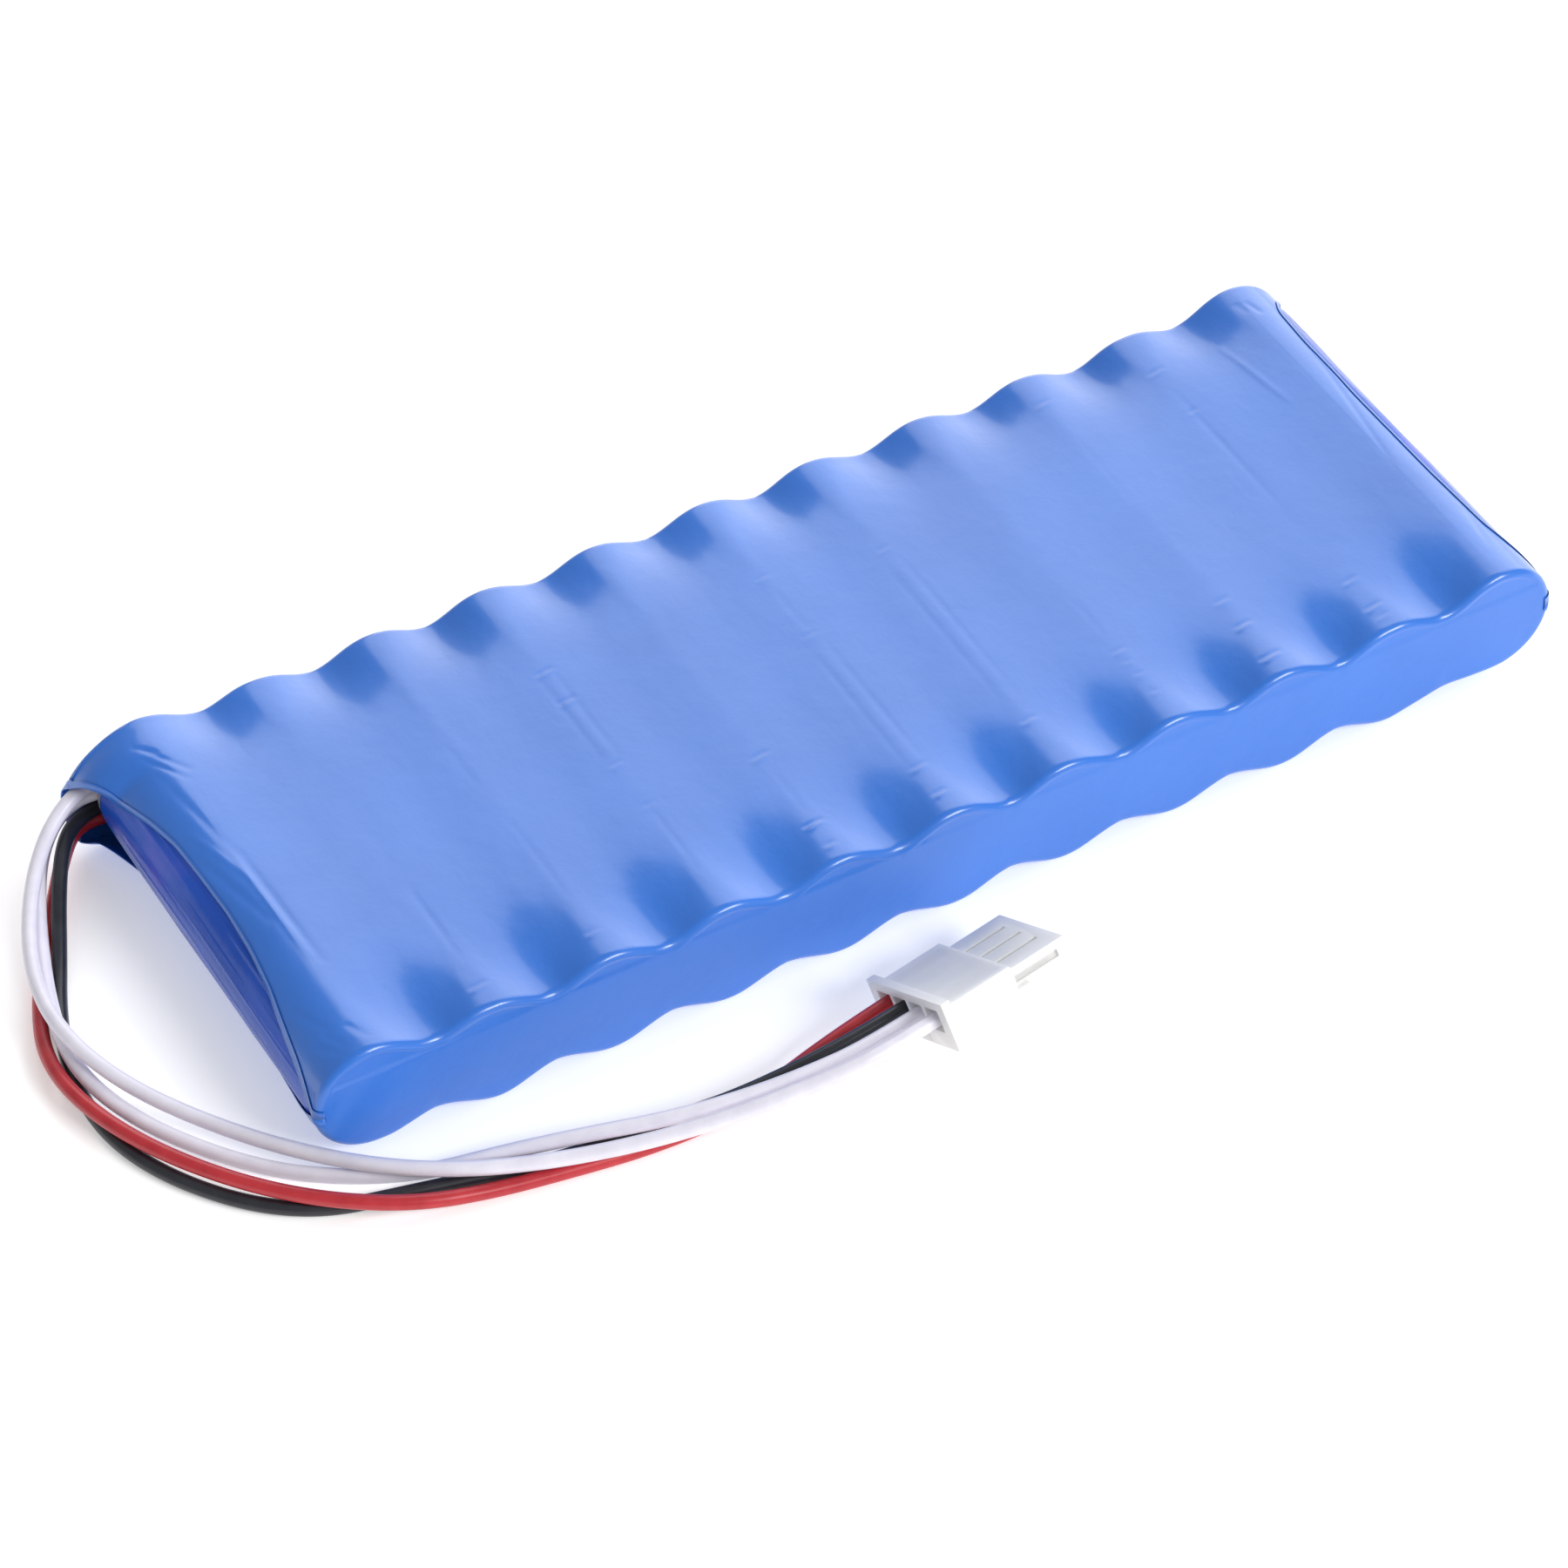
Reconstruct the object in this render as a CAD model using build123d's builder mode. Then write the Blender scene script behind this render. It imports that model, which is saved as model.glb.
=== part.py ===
"""A flat row of eleven cylindrical cells in a heat-shrunk film, with four leads to a four-way plug.

The row lies along X and the cells along Y. The origin is on the ground under the middle of the
pack, and +Z is up. All lengths are in millimetres.
"""

import math
import os

from build123d import *

os.makedirs("parts", exist_ok=True)

# ---------------------------------------------------------------- driving dimensions

CELL_COUNT = 11
CELL_DIAMETER = 16.7  # over the jacket, the 4/3 A size
CELL_LENGTH = 66.4  # flat base to the top of the button
CELL_GAP = 0.35  # left between two jackets
END_LIFT = 1.4  # the shrunk film curls both end cells up off the ground

JACKET = 0.1
CAN_WALL = 0.25
CAN_BASE_FILLET = 0.8
BEAD_DEPTH = 0.7
BEAD_BELOW_RIM = 3.0
BUTTON_HEIGHT = 1.0
BUTTON_DIAMETER = 5.8
CAP_DIAMETER = 13.6
CAP_THICKNESS = 0.7
CRIMP_LIP = 0.9
ROLL_CORE_DIAMETER = 3.0
WASHER_THICKNESS = 0.2

LINK_THICKNESS = 0.15
LINK_WIDTH = 7.0
LINK_OVERRUN = 4.0  # how far a link runs past each cell's axis
LINK_SLIT = 1.0
BOARD_THICKNESS = 0.2
BOARD_BOTTOM = 3.6
BOARD_TOP = 14.1
BOARD_OVERRUN = 4.4  # how far a board runs past the end cells' axes

FILM = 0.18
FILM_GAP = 0.17  # between a cell's jacket and the film
FILM_RIM_FILLET = 1.2
VALLEY_DEPTH = 1.2  # how far the film sinks between two cells on top
MOUTH_HALF_HEIGHT = 7.0
MOUTH_SHORT_OF_END = 2.0  # film left at each end of the mouth
PATCH = 0.12
PATCH_ARC = 170.0  # degrees round the outer side of an end cell
PATCH_SHORT = 2.0  # of each end of the cell

WIRE_DIAMETER = 2.1
WIRE_GAP = 0.05
CONDUCTOR_DIAMETER = 1.2
LEAD_HEIGHTS = {"red": 4.6, "black": 6.9, "white_b": 9.4, "white_a": 11.7}
LEAD_BEND = 1.4
BLACK_LEAD_LOW = 12.0  # along the far face before the black lead climbs to its level
BLACK_LEAD_CLIMB = 14.0
EXIT_X = -89.0  # the leads turn into the free wires here, under the film
TAPE_THICKNESS = 0.1
SOLDER_WIDTH = 1.4
TAPE_WIDTH = 12.0
SENSOR_BEAD_DIAMETER = 2.0
SENSOR_BEAD_LENGTH = 5.0
SENSOR_LEG_DIAMETER = 0.7
SENSOR_LEG_SPACING = 1.0
SENSOR_LEG_BEND = 0.6
SENSOR_LEG_DROP_LENGTH = 4.0
SENSOR_ABOVE_AXIS = 5.9  # the groove between the last two cells holds the bead here
SENSOR_FROM_MIDDLE = 18.0
SPLICE_X = 66.0
SPLICE_LENGTH = 9.0
SPLICE_END_SHORT = 5.0  # the sleeve covers this much less than the splice's length
SPLICE_LEG_STRAIGHT = 6.0
SPLICE_UNDER_WIRE = 0.1  # how much thinner the shrunk splice sleeve is than a lead
GLUE_RADIUS = 1.3
GLUE_LENGTH = 8.0
GLUE_SPOTS = (-16.0, 16.0)

CIRCUITS = 4
PLUG_PITCH = 3.96
PLUG_SIDE_WALL = 0.98
PLUG_HEIGHT = 5.3
PLUG_BODY_LENGTH = 9.9
FLANGE_THICKNESS = 1.3
FLANGE_OVERHANG = 0.9  # above and below the body
FLANGE_SIDE = 0.5
NOSE_LENGTH = 9.2
NOSE_INSET = 1.05  # each side, from the body
NOSE_BOTTOM = 0.95
NOSE_TOP = 4.46
CAVITY_WIDTH = 3.16
CAVITY_BOTTOM = 1.6
CAVITY_TOP = 4.9
NOSE_BORE_WIDTH = 2.5
NOSE_BORE_BOTTOM = 1.6
NOSE_BORE_TOP = 3.8
GROOVE_WIDTH = 0.7
GROOVE_DEPTH = 0.45
GROOVE_START = 0.4
GROOVE_SHORT_OF_NOSE = 2.2
SIDE_SLOT_LENGTH = 7.0
SIDE_SLOT_HEIGHT = 1.0
SIDE_SLOT_DEPTH = 0.5
SIDE_SLOT_START = 0.6
SIDE_SLOT_BOTTOM = 2.3
RAIL_LENGTH = 2.0
RAIL_WIDTH = 2.0
RAIL_HEIGHT = 0.9
RAIL_BOTTOM = 0.1
PLUG_EDGE_FILLET = 0.3
LEVER_CHANNEL_WIDTH = 5.6
LEVER_CHANNEL_DEPTH = 1.25
LEVER_SIDE_GAP = 0.2
LEVER_THICKNESS = 0.6
LEVER_PIVOT = 4.2  # from the front of the flange to the webs
LEVER_PAST_BODY = 3.4
THUMB_PAD_LENGTH = 2.6
CATCH_LENGTH = 1.4
CATCH_DEPTH = 0.6
WEB_HALF_LENGTH = 0.35
WEB_SHORT_OF_CHANNEL = 0.04
PLUG_ORIGIN_XY = (-17.1, -56.7)
PLUG_GROUND_GAP = 0.05
PLUG_YAW = 8.0
PLUG_NOSE_UP = 4.0
PLUG_ROLL = -29.4

CONTACT_WALL = 0.2
BARREL_LENGTH = 4.0
BARREL_START = 1.5
CONTACT_BOX_START = 6.5
CONTACT_BOX_LENGTH = 9.5
CONTACT_CLEARANCE = 0.1
NECK_WIDTH = 1.4
NECK_HEIGHT = 1.0

# The free wires, from the film's mouth along the ground towards the plug. Each list is
# followed by two points on the axis of the wire's own cavity in the plug.
RED_ROUTE = [
    (-92.2, 33.6, 4.6), (-95.3, 32.9, 4.2), (-98.2, 31.35, 3.5), (-101.3, 28.5, 2.5), (-105.1, 23.2, 1.4),
    (-109.5, 16.2, 1.1), (-113.6, 8.6, 1.1), (-116.6, 0.0, 2.2), (-116.8, -8.8, 3.3), (-114.2, -17.8, 3.4),
    (-109.6, -26.6, 3.3), (-103.0, -35.6, 3.3), (-95.4, -42.8, 3.3), (-86.6, -47.7, 2.6), (-77.0, -49.6, 1.3),
    (-66.6, -51.4, 1.1), (-56.6, -53.0, 1.1), (-47.6, -53.4, 1.2), (-39.2, -53.0, 2.4),
]
BLACK_ROUTE = [
    (-92.2, 33.6, 6.9), (-95.3, 32.6, 7.2), (-98.2, 30.8, 7.5), (-101.0, 27.6, 6.8), (-104.1, 22.2, 4.5),
    (-107.6, 14.9, 1.9), (-111.2, 7.4, 1.1), (-114.0, -0.6, 1.1), (-115.4, -9.4, 1.1), (-114.6, -18.4, 1.1),
    (-110.8, -27.4, 1.1), (-104.2, -36.2, 1.1), (-96.6, -41.6, 1.1), (-88.2, -43.8, 1.1), (-79.4, -46.0, 1.1),
    (-70.0, -48.5, 1.1), (-60.4, -50.1, 1.7), (-51.0, -51.9, 3.0), (-42.0, -53.6, 4.1),
]
WHITE_A_ROUTE = [
    (-92.3, 33.6, 11.7), (-95.6, 33.0, 11.3), (-98.9, 31.7, 10.4), (-102.8, 28.9, 8.9), (-107.0, 23.9, 7.0),
    (-110.8, 16.9, 5.8), (-113.4, 9.0, 5.9), (-114.4, 1.0, 6.6), (-113.0, -6.4, 5.8), (-109.6, -13.6, 4.4),
    (-104.2, -21.4, 3.1), (-97.6, -30.4, 3.0), (-89.6, -39.3, 3.5), (-80.4, -45.9, 3.6), (-69.9, -50.4, 3.5),
    (-59.2, -54.2, 4.3), (-49.4, -57.2, 5.8), (-40.3, -59.3, 7.5), (-32.1, -60.9, 9.3),
]
WHITE_B_ROUTE = [
    (-92.2, 33.6, 9.4), (-95.4, 34.2, 8.8), (-98.5, 33.75, 7.6), (-101.5, 31.6, 6.3), (-104.4, 27.8, 5.0),
    (-107.2, 22.0, 4.0), (-109.9, 15.0, 3.4), (-112.2, 8.0, 3.3), (-114.0, 0.4, 3.4), (-114.2, -7.4, 3.3),
    (-111.6, -15.4, 2.4), (-106.6, -23.6, 1.6), (-99.6, -32.0, 1.1), (-91.6, -38.2, 1.1), (-82.6, -42.4, 1.1),
    (-73.0, -45.6, 2.6), (-63.6, -49.2, 4.0), (-53.8, -52.9, 4.9), (-44.4, -55.6, 6.1), (-35.6, -57.4, 7.5),
]
LAST_STRAIGHT = 8.0  # of each wire, in line with its cavity, outside the plug

# ---------------------------------------------------------------- sizes worked out from them

CELL_RADIUS = CELL_DIAMETER / 2
CELL_PITCH = CELL_DIAMETER + CELL_GAP
CAN_RADIUS = CELL_RADIUS - JACKET
CAN_HEIGHT = CELL_LENGTH - BUTTON_HEIGHT
FILM_RADIUS = CELL_RADIUS + FILM_GAP + FILM
AXIS_Z = FILM_RADIUS
LINK_FACE = CELL_LENGTH / 2 + LINK_THICKNESS
BOARD_FACE = LINK_FACE + WIRE_GAP + BOARD_THICKNESS
END_FACE = BOARD_FACE + FILM_GAP + FILM
LEAD_SPACE = WIRE_DIAMETER + 2 * WIRE_GAP  # the leads lie between the far board and the film
ROW_Y = -LEAD_SPACE / 2
NEAR_FILM_Y = ROW_Y - END_FACE
FAR_FILM_Y = ROW_Y + END_FACE + LEAD_SPACE
LEAD_Y = ROW_Y + BOARD_FACE + WIRE_GAP + WIRE_DIAMETER / 2
PLUG_WIDTH = CIRCUITS * PLUG_PITCH + 2 * PLUG_SIDE_WALL
CAVITY_MIDDLE = (CAVITY_BOTTOM + CAVITY_TOP) / 2
LAST_CELL = CELL_COUNT - 1


def cell_x(index):
    return (index - LAST_CELL / 2) * CELL_PITCH


def cell_z(index):
    return AXIS_Z + (END_LIFT if index in (0, LAST_CELL) else 0.0)


def button_side(index):
    """The cells stand head to tail: +1 where the button faces far (+Y), -1 where it faces near."""
    return 1 if index % 2 == 0 else -1


def cell_plane(index):
    """A plane through the cell's axis, with its own Y running from the base to the button."""
    side = button_side(index)
    base = (cell_x(index), ROW_Y - side * CELL_LENGTH / 2, cell_z(index))
    return Plane(origin=base, x_dir=(1, 0, 0), z_dir=(0, 0, side))


def save(built, name):
    built.part.label = name
    export_step(built.part, f"parts/{name}.step")


# ---------------------------------------------------------------- cells


def turned(index, points):
    """One solid of revolution about a cell's axis, from (radius, height) points."""
    plane = cell_plane(index)
    with BuildPart() as piece:
        with BuildSketch(plane):
            with BuildLine():
                Polyline(*points, close=True)
            make_face()
        revolve(axis=Axis(plane.origin, plane.y_dir))
    return piece


rim = CAN_HEIGHT
bead = CAN_HEIGHT - BEAD_BELOW_RIM
inner = CAN_RADIUS - CAN_WALL
can_profile = [
    (0, 0),
    (CAN_RADIUS - CAN_BASE_FILLET, 0),
    (CAN_RADIUS - CAN_BASE_FILLET * 0.3, CAN_BASE_FILLET * 0.3),
    (CAN_RADIUS, CAN_BASE_FILLET),
    (CAN_RADIUS, bead - BEAD_DEPTH),
    (CAN_RADIUS - BEAD_DEPTH, bead),
    (CAN_RADIUS, bead + BEAD_DEPTH),
    (CAN_RADIUS, rim),
    (CAN_RADIUS - CRIMP_LIP, rim),
    (CAN_RADIUS - CRIMP_LIP, rim - CAN_WALL),
    (inner, rim - CAN_WALL),
    (inner, bead + BEAD_DEPTH),
    (inner - BEAD_DEPTH, bead),
    (inner, bead - BEAD_DEPTH),
    (inner, CAN_BASE_FILLET),
    (inner - CAN_BASE_FILLET * 0.6, CAN_WALL),
    (0, CAN_WALL),
]
for index in range(CELL_COUNT):
    save(turned(index, can_profile), f"cell_can_{index + 1:02d}")

ROLL_RADIUS = inner - 0.15
ROLL_BOTTOM = CAN_BASE_FILLET + 0.2
ROLL_TOP = bead - BEAD_DEPTH - 0.6
CORE_RADIUS = ROLL_CORE_DIAMETER / 2
CAP_RADIUS = CAP_DIAMETER / 2
CAP_TOP = rim - CAN_WALL
SEAL_CLEAR = 0.03
BUTTON_RADIUS = BUTTON_DIAMETER / 2
cell_group_profiles = {
    "electrode_rolls": [
        (CORE_RADIUS, ROLL_BOTTOM),
        (ROLL_RADIUS, ROLL_BOTTOM),
        (ROLL_RADIUS, ROLL_TOP),
        (CORE_RADIUS, ROLL_TOP),
    ],
    "positive_caps": [
        (0, CAP_TOP - CAP_THICKNESS),
        (CAP_RADIUS, CAP_TOP - CAP_THICKNESS),
        (CAP_RADIUS, CAP_TOP),
        (BUTTON_RADIUS + 0.4, CAP_TOP),
        (BUTTON_RADIUS, CELL_LENGTH - 0.2),
        (BUTTON_RADIUS - 0.3, CELL_LENGTH),
        (0, CELL_LENGTH),
    ],
    "cap_seals": [
        (CAP_RADIUS + SEAL_CLEAR, bead + 2 * BEAD_DEPTH),
        (inner - SEAL_CLEAR, bead + 2 * BEAD_DEPTH),
        (inner - SEAL_CLEAR, CAP_TOP - SEAL_CLEAR),
        (CAP_RADIUS + SEAL_CLEAR, CAP_TOP - SEAL_CLEAR),
    ],
    "cell_jackets": [
        (CAN_RADIUS + 0.01, CAN_BASE_FILLET),
        (CELL_RADIUS, CAN_BASE_FILLET),
        (CELL_RADIUS, rim + JACKET),
        (CAN_RADIUS - CRIMP_LIP, rim + JACKET),
        (CAN_RADIUS - CRIMP_LIP, rim + 0.01),
        (CAN_RADIUS + 0.01, rim + 0.01),
    ],
    "button_washers": [
        (BUTTON_RADIUS + 0.5, rim + JACKET + 0.02),
        (CAN_RADIUS - 0.3, rim + JACKET + 0.02),
        (CAN_RADIUS - 0.3, rim + JACKET + 0.02 + WASHER_THICKNESS),
        (BUTTON_RADIUS + 0.5, rim + JACKET + 0.02 + WASHER_THICKNESS),
    ],
}
for name, profile in cell_group_profiles.items():
    turned_pieces = [turned(index, profile).part for index in range(CELL_COUNT)]
    with BuildPart() as group:
        add(turned_pieces)
    save(group, name)

# ---------------------------------------------------------------- links, tabs and end boards


def face_plane(side, first, second, distance):
    """A plane on the near (-1) or far (+1) cell ends, level with two neighbouring cells."""
    middle = (
        (cell_x(first) + cell_x(second)) / 2,
        ROW_Y + side * distance,
        (cell_z(first) + cell_z(second)) / 2,
    )
    along = (cell_x(second) - cell_x(first), 0, cell_z(second) - cell_z(first))
    return Plane(origin=middle, x_dir=along, z_dir=(0, side, 0))


def nickel_link(side, first):
    with BuildPart() as link:
        with BuildSketch(face_plane(side, first, first + 1, CELL_LENGTH / 2)):
            RectangleRounded(CELL_PITCH + 2 * LINK_OVERRUN, LINK_WIDTH, 1.0)
            with GridLocations(CELL_PITCH, 0, 2, 1):
                Rectangle(LINK_OVERRUN, LINK_SLIT, mode=Mode.SUBTRACT)
        extrude(amount=LINK_THICKNESS)
    return link


for number in range((CELL_COUNT - 1) // 2):
    save(nickel_link(-1, 2 * number), f"link_near_{number + 1}")
    save(nickel_link(1, 2 * number + 1), f"link_far_{number + 1}")

TAB_WIDTH = 4.0
RED_JOINT_X = cell_x(0) + 1.0
with BuildPart() as positive_tab:
    tab_top = cell_z(0) + 3.0
    tab_bottom = LEAD_HEIGHTS["red"] - 1.5
    far_ends = Plane(origin=(RED_JOINT_X, ROW_Y + CELL_LENGTH / 2, 0), x_dir=(1, 0, 0), z_dir=(0, 1, 0))
    with BuildSketch(far_ends):
        with Locations((0, -(tab_top + tab_bottom) / 2)):
            RectangleRounded(TAB_WIDTH, tab_top - tab_bottom, 1.0)
    extrude(amount=LINK_THICKNESS)
save(positive_tab, "positive_tab")

GROOVE_X = (cell_x(LAST_CELL - 1) + cell_x(LAST_CELL)) / 2
GROOVE_LEAD_Z = 3.2
TONGUE_LENGTH = 7.0
TONGUE_WIDTH = 2.6
tongue_z = GROOVE_LEAD_Z - WIRE_DIAMETER / 2 - WIRE_GAP - LINK_THICKNESS
with BuildPart() as negative_tab:
    near_face = Plane(origin=(0, ROW_Y - CELL_LENGTH / 2, 0), x_dir=(1, 0, 0), z_dir=(0, -1, 0))
    with BuildSketch(near_face):
        with BuildLine():
            Polyline(
                (cell_x(LAST_CELL) + LINK_OVERRUN, cell_z(LAST_CELL) + 2.0),
                (cell_x(LAST_CELL) - LINK_OVERRUN, cell_z(LAST_CELL) + 2.0),
                (GROOVE_X - TONGUE_WIDTH / 2, tongue_z + 2.0),
                (GROOVE_X - TONGUE_WIDTH / 2, tongue_z),
                (GROOVE_X + TONGUE_WIDTH / 2, tongue_z),
                (cell_x(LAST_CELL) + LINK_OVERRUN, cell_z(LAST_CELL) - 2.0),
                close=True,
            )
        make_face()
    extrude(amount=LINK_THICKNESS)
    with BuildSketch(Plane.XY.offset(tongue_z)):
        with Locations((GROOVE_X, ROW_Y - CELL_LENGTH / 2 + TONGUE_LENGTH / 2 - LINK_THICKNESS / 2)):
            Rectangle(TONGUE_WIDTH, TONGUE_LENGTH + LINK_THICKNESS)
    extrude(amount=LINK_THICKNESS)
save(negative_tab, "negative_tab")

BOARD_LENGTH = LAST_CELL * CELL_PITCH + 2 * BOARD_OVERRUN
for side, name in ((-1, "near_board"), (1, "far_board")):
    with BuildPart() as board:
        board_face = ROW_Y + side * (BOARD_FACE - BOARD_THICKNESS)
        with BuildSketch(Plane(origin=(0, board_face, 0), x_dir=(1, 0, 0), z_dir=(0, side, 0))):
            with Locations((0, -side * (BOARD_TOP + BOARD_BOTTOM) / 2)):
                RectangleRounded(BOARD_LENGTH, BOARD_TOP - BOARD_BOTTOM, 2.0)
            if side > 0:
                # a window lets the positive tab meet the red lead
                with Locations((RED_JOINT_X, -LEAD_HEIGHTS["red"])):
                    Rectangle(TAB_WIDTH, WIRE_DIAMETER + 1.0, mode=Mode.SUBTRACT)
                # and a notch lets the black lead out of its groove
                with Locations((GROOVE_X, -GROOVE_LEAD_Z)):
                    Rectangle(WIRE_DIAMETER + 1.0, WIRE_DIAMETER + 1.0, mode=Mode.SUBTRACT)
        extrude(amount=BOARD_THICKNESS)
    save(board, name)

# ---------------------------------------------------------------- film sleeve and end patches


def film_outline(shrink):
    """The edges of the film's outline across the row, moved in by shrink."""
    radius = FILM_RADIUS - shrink
    drop = VALLEY_DEPTH
    half_crest = math.acos(1 - drop / radius)
    reach = radius * math.sin(half_crest)
    crest = math.degrees(half_crest)
    edges = []
    for index in range(CELL_COUNT):
        x, z = cell_x(index), cell_z(index)
        start, size = 90 - crest, 2 * crest
        if index == 0:
            size = 180 + crest
        if index == LAST_CELL:
            start, size = -90, 180 + crest
        edges.append(CenterArc((x, z), radius, start, size))
        if index:
            before = (cell_x(index - 1) + reach, cell_z(index - 1) + radius - drop)
            edges.append(Line(before, (x - reach, z + radius - drop)))
    # underneath, one flat between the lifted end cells, and a slope up to each of them
    feet = [0, 1, LAST_CELL - 1, LAST_CELL]
    for left, right in zip(feet, feet[1:]):
        ends = [(cell_x(foot), cell_z(foot) - radius) for foot in (left, right)]
        edges.append(Line(*ends))
    return edges


def film_block(shrink, near, far, rim_fillet=0.0):
    with BuildPart() as block:
        with BuildSketch(Plane(origin=(0, near, 0), x_dir=(1, 0, 0), z_dir=(0, -1, 0))):
            with BuildLine():
                film_outline(shrink)
            make_face()
        extrude(amount=near - far)
        if rim_fillet:
            for end in (0, -1):
                fillet(block.edges().group_by(Axis.Y)[end], rim_fillet)
    return block


# The inside is cut in steps that follow the rounded rims: how far each step is inside the
# outline, and how far it stops short of the end faces.
MIDDLE_STEP = 0.5
inside_steps = [(FILM, FILM_RIM_FILLET), (MIDDLE_STEP, MIDDLE_STEP), (FILM_RIM_FILLET, FILM)]
film_outside = film_block(0, NEAR_FILM_Y, FAR_FILM_Y, FILM_RIM_FILLET)
film_insides = [
    film_block(shrink, NEAR_FILM_Y + short, FAR_FILM_Y - short) for shrink, short in inside_steps
]
MOUTH_X = cell_x(0) - CELL_RADIUS / 2
MOUTH_REACH = END_FACE - MOUTH_SHORT_OF_END
LEAD_SLOT_BOTTOM = LEAD_HEIGHTS["red"] - WIRE_DIAMETER / 2 - 0.3
LEAD_SLOT_TOP = LEAD_HEIGHTS["white_a"] + WIRE_DIAMETER / 2 + 0.3
with BuildPart() as film_sleeve:
    add(film_outside.part)
    for inside in film_insides:
        add(inside.part, mode=Mode.SUBTRACT)
    for side in (-1, 1):
        with BuildSketch(Plane(origin=(side * -MOUTH_X, 0, 0), x_dir=(0, 1, 0), z_dir=(1, 0, 0))):
            with Locations((ROW_Y, cell_z(0))):
                Ellipse(MOUTH_REACH, MOUTH_HALF_HEIGHT)
        extrude(amount=side * CELL_DIAMETER, mode=Mode.SUBTRACT)
    # the corner where the leads come out is open
    corner_depth = 2 * WIRE_DIAMETER
    with BuildSketch(Plane(origin=(EXIT_X - 1.0, 0, 0), x_dir=(0, 1, 0), z_dir=(-1, 0, 0))):
        with Locations((LEAD_Y + WIRE_DIAMETER - corner_depth / 2, -(LEAD_SLOT_TOP + LEAD_SLOT_BOTTOM) / 2)):
            Rectangle(corner_depth + WIRE_DIAMETER, LEAD_SLOT_TOP - LEAD_SLOT_BOTTOM)
    extrude(amount=CELL_RADIUS, mode=Mode.SUBTRACT)
save(film_sleeve, "film_sleeve")

PATCH_RADIUS = CELL_RADIUS + 0.02
for index, name, start in ((0, "end_patch_left", 180.0), (LAST_CELL, "end_patch_right", 0.0)):
    with BuildPart() as patch:
        patch_start = ROW_Y + CELL_LENGTH / 2 - PATCH_SHORT
        with BuildSketch(Plane(origin=(0, patch_start, 0), x_dir=(1, 0, 0), z_dir=(0, -1, 0))):
            with BuildLine():
                first = start - PATCH_ARC / 2
                outer_arc = CenterArc((cell_x(index), cell_z(index)), PATCH_RADIUS + PATCH, first, PATCH_ARC)
                inner_arc = CenterArc((cell_x(index), cell_z(index)), PATCH_RADIUS, first, PATCH_ARC)
                Line(outer_arc @ 0, inner_arc @ 0)
                Line(outer_arc @ 1, inner_arc @ 1)
            make_face()
        extrude(amount=CELL_LENGTH - 2 * PATCH_SHORT)
    save(patch, name)

# ---------------------------------------------------------------- glue, tapes, sensor and inner leads

with BuildPart() as glue_beads:
    for index in range(LAST_CELL - 1):
        x = (cell_x(index) + cell_x(index + 1)) / 2
        z = (cell_z(index) + cell_z(index + 1)) / 2
        rise = math.sqrt((CELL_RADIUS + GLUE_RADIUS + 0.1) ** 2 - (CELL_PITCH / 2) ** 2) + END_LIFT / 2
        for spot in GLUE_SPOTS:
            start = ROW_Y + spot + GLUE_LENGTH / 2
            with BuildSketch(Plane(origin=(x, start, z + rise), x_dir=(1, 0, 0), z_dir=(0, -1, 0))):
                Circle(GLUE_RADIUS)
            extrude(amount=GLUE_LENGTH)
save(glue_beads, "glue_beads")

with BuildPart() as lead_tapes:
    tape_y = LEAD_Y + WIRE_DIAMETER / 2 + 0.02
    for tape_x in (cell_x(1), 0.0, cell_x(LAST_CELL - 3)):
        with BuildSketch(Plane(origin=(tape_x, tape_y, AXIS_Z), x_dir=(1, 0, 0), z_dir=(0, 1, 0))):
            Rectangle(TAPE_WIDTH, LEAD_HEIGHTS["white_a"] - LEAD_HEIGHTS["red"] + 2 * WIRE_DIAMETER)
        extrude(amount=TAPE_THICKNESS)
save(lead_tapes, "lead_tapes")


def tube(points, diameter, radii):
    """A round tube along straight runs joined by tangent arcs."""
    with BuildPart() as piece:
        with BuildLine() as path:
            FilletPolyline(*points, radius=radii)
        route = path.wire()
        with BuildSketch(Plane(origin=route @ 0, z_dir=route % 0)):
            Circle(diameter / 2)
        sweep(path=route)
    return piece, route.length


def tight_radii(points, radius):
    return [radius] * (len(points) - 2)


SPLICE_DIAMETER = WIRE_DIAMETER - SPLICE_UNDER_WIRE
inner_routes = {
    "red": [(RED_JOINT_X - 1.2, LEAD_Y, LEAD_HEIGHTS["red"]), (EXIT_X, LEAD_Y, LEAD_HEIGHTS["red"])],
    "black": [
        (GROOVE_X, ROW_Y - CELL_LENGTH / 2 + 2.0, GROOVE_LEAD_Z),
        (GROOVE_X, LEAD_Y, GROOVE_LEAD_Z),
        (GROOVE_X - BLACK_LEAD_LOW, LEAD_Y, GROOVE_LEAD_Z),
        (GROOVE_X - BLACK_LEAD_LOW - BLACK_LEAD_CLIMB, LEAD_Y, LEAD_HEIGHTS["black"]),
        (EXIT_X, LEAD_Y, LEAD_HEIGHTS["black"]),
    ],
    "white_a": [(SPLICE_X, LEAD_Y, LEAD_HEIGHTS["white_a"]), (EXIT_X, LEAD_Y, LEAD_HEIGHTS["white_a"])],
    "white_b": [(SPLICE_X, LEAD_Y, LEAD_HEIGHTS["white_b"]), (EXIT_X, LEAD_Y, LEAD_HEIGHTS["white_b"])],
}
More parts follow.
